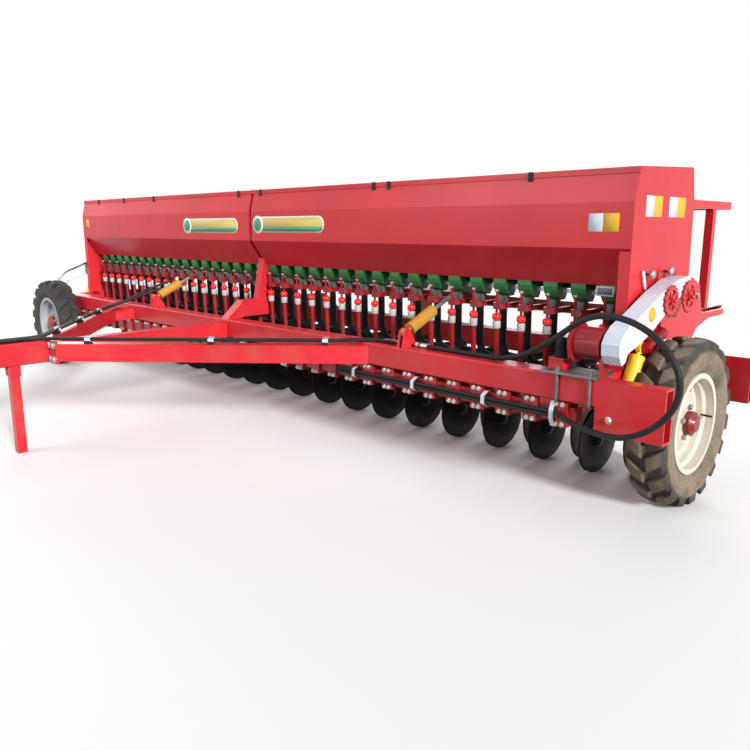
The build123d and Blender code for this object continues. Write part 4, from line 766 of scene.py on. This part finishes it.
class DRILL_OT_seed_tubes(Operator):
    """Ribbed rubber tubes that curve down from the funnels to the openers' boots"""

    bl_idname = "drill.seed_tubes"
    bl_label = "Seed tubes"

    def execute(self, context):
        shapes = {True: ribbed_tube(FRONT_HUB), False: ribbed_tube(REAR_HUB)}
        for end, rows in (("near", NEAR_X), ("far", FAR_X)):
            front = is_front(rows)
            parts = [shapes[rank].at_each([(x, 0, 0) for x in rows[front == rank]]) for rank in (True, False)]
            piece = add_piece("ribbed_tubes_" + end, joined(parts), "black_rubber", None, None)
            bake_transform(piece)
            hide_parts("seed_tubes_" + end)
        return {"FINISHED"}


class DRILL_OT_rod_collars(Operator):
    """Pale collars and red stops on the press rods, above their sleeves"""

    bl_idname = "drill.rod_collars"
    bl_label = "Rod collars"

    def execute(self, context):
        pale = plastic("collar grey", (0.42, 0.40, 0.40), 0.5)
        signal = paint("bright red paint", (0.80, 0.020, 0.016), dusty=0.05)
        steel = finishes()["bright_steel"]
        collar = lathe([
            (0.0143, -0.058), (0.0205, -0.055), (0.0215, -0.050), (0.0215, -0.020), (0.0195, -0.016), (0.0143, -0.015),
        ], 16)
        stop = lathe([
            (0.0143, -0.012), (0.0215, -0.008), (0.0240, 0.004), (0.0225, 0.015), (0.0150, 0.022), (0.0075, 0.024),
        ], 16)
        tip = lathe([(0.0078, 0.136), (0.0120, 0.137), (0.0120, 0.147), (0.0085, 0.1485)], 6)
        for end, rows in (("near", NEAR_X), ("far", FAR_X)):
            clear = rows[np.abs(rows - TAG_X) > 0.06]
            for name, shape, finish, slot, lean, own in (
                ("rod_collars_", collar, pale, "grey_plastic", 0.1100, rows),
                ("rod_stops_", stop, signal, "red_paint", 0.1086, rows),
                ("rod_nuts_", tip, steel, "bright_steel", 0.1040, clear),
            ):
                upright = shape.turned(TO_PLUS_Z).at_each([(x, FACE_Y + lean, SLEEVE_TOP) for x in own])
                make_object(name + end, upright, finish, "press_rods_" + end, 40)
        return {"FINISHED"}


def toothed_wheel(radius, teeth, spokes):
    """Chain wheel about X: a ring whose outer radius swings with the cosine of the teeth, bars
    from it to the middle, and a hub."""
    turn = np.linspace(0, math.tau, teeth * 6, endpoint=False)
    outer = radius + 0.0042 * np.clip(1.6 * np.cos(turn * teeth), -1, 1)
    inner = np.full(len(turn), radius - 0.019)
    rows = []
    for ring, level in ((inner, -0.004), (outer, -0.004), (outer, 0.004), (inner, 0.004)):
        rows.append(np.stack([np.full(len(turn), level), ring * np.cos(turn), ring * np.sin(turn)], axis=-1))
    rim = grid_shape(np.stack(rows), closed=True)
    bar = block((-0.003, -0.0065, 0.010), (0.003, 0.0065, radius - 0.015))
    bars = []
    for number in range(spokes):
        angle = math.tau * number / spokes + 0.4
        sine, cosine = math.sin(angle), math.cos(angle)
        bars.append(bar.turned(np.array([[1, 0, 0], [0, cosine, -sine], [0, sine, cosine]])))
    hub = lathe([(0.018, -0.006), (0.018, 0.010), (0.009, 0.010), (0.009, 0.020), (0.007, 0.022)], 20)
    return joined([rim, hub] + bars)


class DRILL_OT_drive_trim(Operator):
    """The outer chain wheels, the rate lever's sleeve, and the knobs on the near end plate"""

    bl_idname = "drill.drive_trim"
    bl_label = "Seed drive trim"

    def execute(self, context):
        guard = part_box("chain_guards")[1][0]
        wheels, shafts = [], []
        for y, z, radius, teeth in ((0.194, 0.944, 0.066, 15), (0.386, 0.950, 0.071, 16)):
            wheels.append(toothed_wheel(radius, teeth, 5).moved((guard + 0.010, FACE_Y + y, z)))
        for y, z, radius, end in (
            (0.194, 0.944, 0.0085, 0.016),
            (0.386, 0.950, 0.0085, 0.016),
            (0.475, 0.945, 0.0120, 0.020),
        ):
            shaft = swept([(-0.075, 0, 0), (-0.03, 0, 0), (end, 0, 0)], radius, 14)
            shafts.append(shaft.moved((guard, FACE_Y + y, z)))
        add_piece("outer_chain_wheels", joined(wheels), "red_paint")
        add_piece("outer_shafts", joined(shafts), "bright_steel")
        foot, tip = np.array([2.790, FACE_Y + 0.150, 0.960]), np.array([2.790, FACE_Y + 0.110, 1.066])
        path = [foot + (tip - foot) * share for share in (0.30, 0.55, 0.80, 1.06)]
        sleeve = swept(path, [0.0080, 0.0085, 0.0090, 0.0080], 14)
        make_object("lever_sleeve", sleeve, plastic("lever white", (0.72, 0.66, 0.64), 0.4), "frame")
        knob = lathe([
            (0.006, 0.0), (0.006, 0.018), (0.014, 0.020), (0.0195, 0.026), (0.0195, 0.036), (0.015, 0.042),
            (0.006, 0.044),
        ], 24)
        places = [(END_SHEET, FACE_Y + 0.155, 1.056), (END_SHEET, FACE_Y + 0.349, 1.062)]
        add_piece("end_plate_knobs", knob.at_each(places), "bright_steel", sharp=None)
        spot = sheet_from_outline(0.034 * unit_circle(24), 0.001).turned(turn_about_z(math.pi / 2))
        place = (guard, FACE_Y + 0.027, 0.896)
        make_object("guard_spot", spot.moved(place), flat_colour("plate yellow", PLATE_YELLOW), "frame")
        return {"FINISHED"}


class DRILL_OT_platform_rail(Operator):
    """The red pipe along the ends and the back of the walkway"""

    bl_idname = "drill.platform_rail"
    bl_label = "Platform rail"

    def execute(self, context):
        low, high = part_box("walkway")
        radius = 0.018
        end, back, level = high[0] + radius, high[1] + radius * 0.8, low[2] - 0.002
        front = low[1] + 0.02
        route = [(end, front, level), (end, back, level), (-end, back, level), (-end, front, level)]
        pipe = swept(smooth_route(route, 0.02), radius, 16)
        add_piece("platform_rail", pipe, "red_paint", sharp=None)
        return {"FINISHED"}


# The loose hose at the near end, from the opener bar's line to the near lift cylinder
LOOP_ROUTE = [
    (2.612, -0.264, 0.466),
    (2.706, -0.292, 0.446),
    (2.818, -0.330, 0.438),
    (2.947, -0.380, 0.448),
    (3.048, -0.410, 0.484),
    (3.140, -0.430, 0.550),
    (3.200, -0.440, 0.634),
    (3.212, -0.445, 0.721),
    (3.179, -0.446, 0.802),
    (3.108, -0.442, 0.876),
    (3.004, -0.430, 0.923),
    (2.889, -0.410, 0.934),
    (2.791, -0.380, 0.907),
    (2.709, -0.340, 0.860),
    (2.620, -0.300, 0.804),
    (2.530, -0.260, 0.752),
    (2.446, -0.230, 0.708),
    (2.356, -0.208, 0.674),
    (2.250, -0.196, 0.6526),
    (2.140, -0.190, 0.6536),
    (2.030, -0.186, 0.6526),
    (1.920, -0.183, 0.6536),
    (1.830, -0.180, 0.6526),
    (1.745, -0.176, 0.6536),
]


def curve_length(curve_object):
    """Length of a curve's own centreline, measured on a copy with no thickness."""
    copy = curve_object.copy()
    copy.data = curve_object.data.copy()
    copy.data.bevel_depth = 0
    bpy.context.scene.collection.objects.link(copy)
    bpy.context.view_layer.update()
    evaluated = copy.evaluated_get(bpy.context.evaluated_depsgraph_get())
    mesh = evaluated.to_mesh()
    points = np.array([tuple(vertex.co) for vertex in mesh.vertices])
    evaluated.to_mesh_clear()
    length = float(np.linalg.norm(np.diff(points, axis=0), axis=1).sum())
    data = copy.data
    bpy.data.objects.remove(copy)
    bpy.data.curves.remove(data)
    return length


class DRILL_OT_hose_loop(Operator):
    """The loose hydraulic hose that loops out at the near end"""

    bl_idname = "drill.hose_loop"
    bl_label = "Hose loop"

    def execute(self, context):
        s = sizes()
        curve = bpy.data.curves.new("loose_hose", "CURVE")
        curve.dimensions = "3D"
        curve.bevel_depth = s.hose_radius
        curve.bevel_resolution = 5
        curve.use_fill_caps = True
        curve.resolution_u = 8
        spline = curve.splines.new("NURBS")
        points = np.array(LOOP_ROUTE) + [0, FACE_Y, 0]
        spline.points.add(len(points) - 1)
        spline.points.foreach_set("co", np.column_stack([points, np.ones(len(points))]).reshape(-1))
        spline.order_u = 3
        spline.use_endpoint_u = True
        hose = bpy.data.objects.new("loose_hose", curve)
        bpy.context.scene.collection.objects.link(hose)
        curve.materials.append(finishes()["black_rubber"])
        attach(hose, "frame")
        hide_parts("hose_loop")
        length = round(curve_length(hose), 3)
        return {"FINISHED"}


# The opener bar's hoses and the lines on the drawbar, as the source lays them
BAR_HOSES = np.array(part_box("bar_hoses"))
DRAW_LINE_Z = 0.6455
NEAR_CLIPS = ((0.2446, -1.2966), (0.7592, -0.8221), (1.2298, -0.3883))
FAR_CLIPS = ((-0.2605, -1.2786), (-0.6637, -0.9663), (-1.0511, -0.6661))
HEAD_CLIPS = ((0.016, -2.150), (0.016, -1.760), (-0.0245, -2.150), (-0.0245, -1.760))
NEAR_ARM_TURN = math.radians(42.67)
FAR_ARM_TURN = math.radians(142.23)


def ring_band(outline, x, width, thickness):
    """A strap pulled round an outline in Y and Z: its section, a flat rectangle of the given
    width along X, follows the outline, outside it by the thickness."""
    outline = np.asarray(outline, dtype=float)
    arrow = outline - outline.mean(axis=0)
    outer = outline + arrow / np.linalg.norm(arrow, axis=1, keepdims=True) * thickness
    left, right = x - width / 2, x + width / 2
    rows = []
    for ring, level in ((outline, left), (outline, right), (outer, right), (outer, left)):
        rows.append(np.column_stack([np.full(len(ring), level), ring]))
    return grid_shape(np.stack(rows), closed=True)


class DRILL_OT_hose_straps(Operator):
    """White straps around the hoses on the opener bar and on the drawbar"""

    bl_idname = "drill.hose_straps"
    bl_label = "Hose straps"

    def execute(self, context):
        nylon = plastic("white nylon", tuple(colours().nylon), 0.45)
        front = BAR_HOSES[0][1] - 0.0006
        low, high = BAR_HOSES[0][2], BAR_HOSES[1][2]
        straps = []
        for node, gap, places, width in (
            ("opener_bar", 0.003, (1.330, 1.775, 2.226), 0.020),
            ("opener_clamps", 0.001, (2.596,), 0.022),
        ):
            inside, outside = np.array(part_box(node))
            near_y, far_y = inside[1] - gap, outside[1] + 0.001
            floor, roof = inside[2] - 0.001, outside[2] + 0.001
            around = [(front, high), (front, low), (near_y, floor), (far_y, floor), (far_y, roof), (near_y, roof)]
            straps += [ring_band(around, x, width, 0.0016) for x in places]
        make_object("bar_straps_white", joined(straps), nylon, "frame", sharp=0)
        sleeve = sheet_from_outline(pill(0.047, 0.031, 10), 0.037).moved((0, 0.0185, DRAW_LINE_Z))
        sleeves = []
        for clips, turn in ((NEAR_CLIPS, NEAR_ARM_TURN), (FAR_CLIPS, FAR_ARM_TURN), (HEAD_CLIPS, math.pi / 2)):
            for x, y in clips:
                sleeves.append(sleeve.turned(turn_about_z(turn - math.pi / 2)).moved((x, FACE_Y + y, 0)))
        make_object("drawbar_straps_white", joined(sleeves), nylon, "frame", sharp=35)
        return {"FINISHED"}


class DRILL_OT_hose_fittings(Operator):
    """Pressed ferrules and hexagon nuts at the ends of the lines on the front beam"""

    bl_idname = "drill.hose_fittings"
    bl_label = "Hose fittings"

    def execute(self, context):
        ferrule = lathe([
            (0.0094, -0.140), (0.0112, -0.137), (0.0112, -0.110), (0.0104, -0.108), (0.0104, -0.100), (0.0112, -0.098),
            (0.0112, -0.070), (0.0104, -0.068), (0.0104, -0.060), (0.0112, -0.058), (0.0112, -0.012), (0.0096, -0.008),
            (0.0096, 0.001),
        ], 20)
        nut = lathe([(0.0125, 0.000), (0.0125, 0.016), (0.0100, 0.018)], 6)
        stub = swept([(0.017, 0, 0), (0.021, 0, 0), (0.0245, 0, 0)], 0.006, 12)
        fitting = joined([ferrule, nut, stub])
        top = BEAM_TOP + 0.0094
        ends = [fitting.moved((1.6258, BEAM_FRONT + y, top)) for y in (0.068, 0.088)]
        loop_end = np.array(LOOP_ROUTE[-1]) + [0, FACE_Y, 0]
        last = lathe([(0.0130, 0.060), (0.0150, 0.057), (0.0150, 0.012), (0.0120, 0.008), (0.0120, -0.001)], 20)
        last_nut = lathe([(0.0170, -0.020), (0.0170, 0.000)], 6)
        ends.append(joined([last, last_nut]).moved(loop_end))
        add_piece("hose_fittings", joined(ends), "bright_steel")
        return {"FINISHED"}


class DRILL_OT_beam_fittings(Operator):
    """The clamp plate with its long bolts, and the valve that stands on it, near the beam's end"""

    bl_idname = "drill.beam_fittings"
    bl_label = "Beam fittings"

    def execute(self, context):
        back = BEAM_FRONT + 0.120
        top = BEAM_TOP + 0.0115
        plate = block((2.536, BEAM_FRONT - 0.020, BEAM_TOP + 0.0005), (2.800, back + 0.020, top))
        zinc = metal("dull zinc", (0.20, 0.19, 0.185), 0.5)
        bevelled(make_object("clamp_plate", plate, zinc, "frame", 0), 0.0015)
        bottom = BEAM_TOP - 0.1285
        parts = []
        nut = lathe([(0.0145, 0.0), (0.0145, 0.011), (0.0125, 0.013)], 6).turned(TO_PLUS_Z)
        for x in (2.611, 2.766):
            y_front, y_back = BEAM_FRONT - 0.0085, back + 0.0085
            tip = BEAM_TOP + 0.034
            route = [(x, y_front, tip), (x, y_front, bottom), (x, y_back, bottom), (x, y_back, tip)]
            parts.append(swept(smooth_route(route, 0.0035), 0.0075, 10))
            parts += [nut.moved((x, y, top)) for y in (y_front, y_back)]
        make_object("clamp_long_bolts", joined(parts), zinc, "frame", 35)
        foot = block((2.546, BEAM_FRONT + 0.020, top), (2.622, BEAM_FRONT + 0.096, top + 0.052))
        bevelled(add_piece("valve_foot", foot, "red_paint", sharp=0), 0.003)
        dome = lathe([
            (0.031, 0.0), (0.031, 0.006), (0.0275, 0.009), (0.0275, 0.040), (0.0290, 0.042), (0.0290, 0.048),
            (0.0235, 0.052), (0.0225, 0.072), (0.0170, 0.084), (0.0090, 0.090),
        ], 28).turned(TO_PLUS_Z)
        dome = dome.moved((2.586, BEAM_FRONT + 0.058, top + 0.0515))
        add_piece("valve_body", dome, "black_rubber", sharp=40)
        bolt = hex_bolt(sizes().bolt_radius * 1.35, 0.011).turned(TO_MINUS_Y)
        add_piece("end_box_bolt", bolt.moved((2.856, BEAM_FRONT, 0.477)), "bright_steel")
        return {"FINISHED"}


class DRILL_OT_clamp_bolts(Operator):
    """Bolts on the front of every opener clamp and along the drawbar's joint"""

    bl_idname = "drill.clamp_bolts"
    bl_label = "Bolts"

    def execute(self, context):
        radius = sizes().bolt_radius
        low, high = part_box("opener_clamps")
        rows = [(x + dx, low[1], z) for x in ROW_X for z in (low[2] + 0.010, high[2] - 0.010) for dx in (-0.015, 0.015)]
        joint_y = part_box("drawbar_arms")[0][1] - 0.014
        joint = [(x, joint_y, z) for x in (-0.125, -0.080, 0.080, 0.125) for z in (0.530, 0.608)]
        for name, bolt, places in (
            ("clamp_bolts", hex_bolt(radius, 0.010), rows),
            ("drawbar_bolts", hex_bolt(radius * 1.8, 0.016), joint),
        ):
            add_piece(name, bolt.turned(TO_MINUS_Y).at_each(places), "bright_steel")
        return {"FINISHED"}


def pill(width, height, count=24):
    """Outline of a bar with round ends as (x, z) about its middle."""
    radius = height / 2
    reach = width / 2 - radius
    turn = np.linspace(-math.pi / 2, math.pi / 2, count)
    right = np.stack([reach + radius * np.cos(turn), radius * np.sin(turn)], axis=-1)
    return np.concatenate([right, -right])


def sheet_from_outline(outline, thickness):
    """A flat plate whose outline lies in X and Z, thick along -Y: its front ring is drawn in by
    a fifth of the thickness."""
    outline = np.asarray(outline, dtype=float)
    centre = outline.mean(axis=0)
    rings = []
    for depth, inset in ((0.0, 0.0), (-0.8 * thickness, 0.0), (-thickness, 0.2 * thickness)):
        arrow = outline - centre
        length = np.linalg.norm(arrow, axis=1, keepdims=True)
        ring = centre + arrow * (1 - inset / np.maximum(length, 1e-6))
        rings.append(np.stack([ring[:, 0], np.full(len(ring), depth), ring[:, 1]], axis=-1))
    return grid_shape(np.stack(rings))


def unit_circle(count):
    turn = np.linspace(0, math.tau, count, endpoint=False)
    return np.stack([np.cos(turn), np.sin(turn)], axis=-1)


def rectangle(width, height):
    return np.array([[-width, -height], [width, -height], [width, height], [-width, height]]) / 2


PLATE_YELLOW = (0.72, 0.42, 0.015)


class DRILL_OT_decals(Operator):
    """Plain coloured strips and blank plates on the hopper's front band and near end"""

    bl_idname = "drill.decals"
    bl_label = "Strips and plates"

    def execute(self, context):
        white = flat_colour("strip white", (0.72, 0.74, 0.66))
        gold = flat_colour("strip gold", (0.58, 0.42, 0.10))
        green = flat_colour("strip green", (0.03, 0.26, 0.13))
        pale = flat_colour("plate white", (0.62, 0.64, 0.74))
        yellow = flat_colour("plate yellow", PLATE_YELLOW)
        blue = flat_colour("plate blue", (0.10, 0.16, 0.24))
        circle = unit_circle(32)
        for number, (left, right, strip_z) in enumerate(((-0.886, -0.149, 1.2725), (0.045, 0.787, 1.2785))):
            place = np.array([(left + right) / 2, FACE_Y, strip_z])
            width = right - left
            name = "strip_%d" % (number + 1)
            for part, wide, high, lift, depth, finish in (
                ("edge", width, 0.106, 0.0, 0.0012, white),
                ("face", width - 0.020, 0.088, 0.0012, 0.0006, gold),
                ("foot", width - 0.030, 0.026, 0.0018, 0.0005, green),
            ):
                shift = np.array([0.0, -lift, -0.027 if part == "foot" else 0.0])
                shape = sheet_from_outline(pill(wide, high), depth).moved(place + shift)
                make_object(name + "_" + part, shape, finish, "frame")
            for part, radius, depth, finish in (("ring", 0.060, 0.0018, white), ("dot", 0.043, 0.0024, green)):
                shape = sheet_from_outline(circle * radius, 0.0006).moved((left + 0.050, FACE_Y - depth, strip_z))
                make_object(name + "_" + part, shape, finish, "frame")
        for name, x, z, width, height, finish in (
            ("plate_pale", 2.609, 1.281, 0.068, 0.078, pale),
            ("plate_gold", 2.681, 1.281, 0.074, 0.078, yellow),
            ("sign_far", -2.674, 1.298, 0.060, 0.070, yellow),
        ):
            shape = sheet_from_outline(rectangle(width, height), 0.001)
            make_object(name, shape.moved((x, FACE_Y, z)), finish, "frame")
        to_side = turn_about_z(math.pi / 2)
        for number, (front, back) in enumerate(((0.108, 0.272), (0.345, 0.525))):
            half = (back - front) / 2
            for part, y, finish in (("pale", front + half / 2, pale), ("gold", back - half / 2, yellow)):
                shape = sheet_from_outline(rectangle(half, 0.090), 0.001).turned(to_side)
                name = "end_plate_%s_%d" % (part, number + 1)
                make_object(name, shape.moved((END_SHEET, FACE_Y + y, 1.350)), finish, "frame")
        tag_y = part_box("meter_cups")[0][1] - 0.001
        for name, width, height, depth, lift, finish in (
            ("tag_edge", 0.090, 0.046, 0.0015, 0.0, white),
            ("tag_face", 0.074, 0.030, 0.0006, 0.0015, blue),
        ):
            shape = sheet_from_outline(rectangle(width, height), depth)
            make_object(name, shape.moved((TAG_X, tag_y - lift, 0.972)), finish, "frame")
        return {"FINISHED"}


class DRILL_OT_hopper_trim(Operator):
    """Lid latches, the rain lips at the seam, and a dark strip behind the meter cups that is painted shade"""

    bl_idname = "drill.hopper_trim"
    bl_label = "Hopper trim"

    def execute(self, context):
        low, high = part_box("lid_near")
        seam = joined([
            block((-0.012, low[1] + 0.002, high[2] - 0.055), (0.012, low[1] + 0.006, high[2] - 0.030)),
            block((-0.003, FACE_Y - 0.002, 1.172), (0.003, FACE_Y, 1.365)),
        ])
        strap = block((-0.014, low[1] - 0.0045, high[2] - 0.074), (0.014, low[1] - 0.0005, high[2] - 0.030))
        latches = strap.at_each([(x, 0, 0) for x in LATCH_X])
        # A thin black strip behind the meter cups: painted shade, put where only the shade under the hopper is seen
        # between them.
        rail = block((0.04, FACE_Y + 0.2165, 0.967), (2.64, FACE_Y + 0.2205, 0.999))
        add_piece("hopper_seam", seam, "red_paint", sharp=0)
        bevelled(add_piece("lid_latches", latches, "black_rubber", sharp=0), 0.002)
        add_piece("meter_shade_strip", rail.at_each([(0, 0, 0), (-2.68, 0, 0)]), "black_rubber", sharp=0)
        return {"FINISHED"}


def seen_rays(tree):
    """1 for rays from the camera, in reflections and through glass, and 0 for light that spreads."""
    rays = tree.nodes.new("ShaderNodeLightPath").outputs
    mirrored = shader_node(tree, "Math", "MAXIMUM", rays["Is Camera Ray"], rays["Is Glossy Ray"])
    return shader_node(tree, "Math", "MAXIMUM", mirrored, rays["Is Transmission Ray"])


def floor_finish():
    """Pale floor that keeps the shadows, turns to plain white away from the drill, and sends
    back less light than it shows."""
    nodes = Nodes("pale floor")
    seen = seen_rays(nodes.tree)
    nodes.colour(nodes.mix(seen, (0.30, 0.29, 0.28), (0.92, 0.92, 0.92)))
    nodes.set(Roughness=0.9, Specular_IOR_Level=0.0)
    away = nodes.distance((0.72, 1.0, 0.0), (0.0, 0.0, 0.0))
    fade = nodes.math("MULTIPLY", nodes.ramp(away, 2.2, 5.0), seen)
    glow = nodes.add("ShaderNodeEmission")
    both = nodes.add("ShaderNodeMixShader")
    nodes.link(fade, both.inputs[0])
    nodes.link(nodes.shader.outputs[0], both.inputs[1])
    nodes.link(glow.outputs[0], both.inputs[2])
    nodes.link(both.outputs[0], nodes.tree.nodes["Material Output"].inputs["Surface"])
    return nodes.material


class DRILL_OT_stage(Operator):
    """Pale floor, soft lamps, white surroundings and the camera of the photograph"""

    bl_idname = "drill.stage"
    bl_label = "Stage"

    def execute(self, context):
        scene = context.scene
        half = 60.0
        floor = bpy.data.meshes.new("floor")
        floor.from_pydata([(-half, -half, 0), (half, -half, 0), (half, half, 0), (-half, half, 0)], [], [(0, 1, 2, 3)])
        floor_object = bpy.data.objects.new("floor", floor)
        scene.collection.objects.link(floor_object)
        floor.materials.append(floor_finish())
        key = bpy.data.lights.new("key", "SUN")
        key.energy = 4.6
        key.angle = math.radians(12)
        self.place_lamp(scene, key, (9.0, FACE_Y - 2.3, 4.2), (0, FACE_Y, 0.8))
        for name, place, size, power in (
            ("front", (-3.0, FACE_Y - 8.5, 4.5), 6.0, 380),
            ("back", (-1.5, FACE_Y + 8.5, 5.0), 6.0, 620),
            ("far", (-9.0, FACE_Y + 1.0, 4.0), 5.0, 300),
        ):
            lamp = bpy.data.lights.new(name, "AREA")
            lamp.size = size
            lamp.energy = power
            self.place_lamp(scene, lamp, place, (0, FACE_Y, 0.8))
        world = bpy.data.worlds.new("white surroundings")
        world.use_nodes = True
        scene.world = world
        background = world.node_tree.nodes["Background"]
        strength = world.node_tree.nodes.new("ShaderNodeMapRange")
        strength.inputs["To Min"].default_value = 0.30
        world.node_tree.links.new(seen_rays(world.node_tree), strength.inputs["Value"])
        world.node_tree.links.new(strength.outputs["Result"], background.inputs["Strength"])
        background.inputs["Color"].default_value = (1, 1, 1, 1)
        self.add_camera(scene)
        scene.view_settings.view_transform = "Standard"
        return {"FINISHED"}

    @staticmethod
    def place_lamp(scene, lamp, place, target):
        lamp_object = bpy.data.objects.new(lamp.name, lamp)
        lamp_object.location = place
        lamp_object.rotation_euler = (Vector(target) - Vector(place)).to_track_quat("-Z", "Y").to_euler()
        scene.collection.objects.link(lamp_object)

    @staticmethod
    def add_camera(scene):
        camera = bpy.data.cameras.new("camera")
        camera.lens = CAMERA_LENS
        camera.sensor_fit = "HORIZONTAL"
        camera_object = bpy.data.objects.new("camera", camera)
        sine, cosine = math.sin(CAMERA_TURN), math.cos(CAMERA_TURN)
        ahead = Vector((-sine * math.cos(CAMERA_TILT), cosine * math.cos(CAMERA_TILT), -math.sin(CAMERA_TILT)))
        right = Vector((cosine, sine, 0))
        up = right.cross(ahead)
        turn = Matrix((right, up, -ahead)).transposed()
        camera_object.matrix_world = Matrix.Translation(CAMERA_PLACE) @ turn.to_4x4()
        scene.collection.objects.link(camera_object)
        scene.camera = camera_object


class DRILL_PT_panel(Panel):
    """Lists the drill's sizes, colours and pieces in the sidebar"""

    bl_idname = "DRILL_PT_panel"
    bl_label = "Seed drill"
    bl_space_type = "VIEW_3D"
    bl_region_type = "UI"
    bl_category = "Drill"

    def draw(self, context):
        for group in (context.scene.drill_sizes, context.scene.drill_colours):
            for name in group.__annotations__:
                self.layout.prop(group, name)
        for operator in OPERATORS:
            self.layout.operator(operator.bl_idname)


OPERATORS = (
    DRILL_OT_finishes,
    DRILL_OT_tyres,
    DRILL_OT_wheel_trim,
    DRILL_OT_discs,
    DRILL_OT_seed_tubes,
    DRILL_OT_hose_loop,
    DRILL_OT_rod_collars,
    DRILL_OT_drive_trim,
    DRILL_OT_platform_rail,
    DRILL_OT_hose_straps,
    DRILL_OT_hose_fittings,
    DRILL_OT_beam_fittings,
    DRILL_OT_clamp_bolts,
    DRILL_OT_decals,
    DRILL_OT_hopper_trim,
    DRILL_OT_stage,
)
CLASSES = (DrillSizes, DrillColours, *OPERATORS, DRILL_PT_panel)


def register():
    for entry in CLASSES:
        bpy.utils.register_class(entry)
    bpy.types.Scene.drill_sizes = PointerProperty(type=DrillSizes)
    bpy.types.Scene.drill_colours = PointerProperty(type=DrillColours)


def unregister():
    del bpy.types.Scene.drill_colours
    del bpy.types.Scene.drill_sizes
    for entry in reversed(CLASSES):
        bpy.utils.unregister_class(entry)


def main():
    register()
    for operator in OPERATORS:
        group, name = operator.bl_idname.split(".")
        getattr(getattr(bpy.ops, group), name)()
    bpy.context.view_layer.update()


if __name__ == "__main__":
    main()
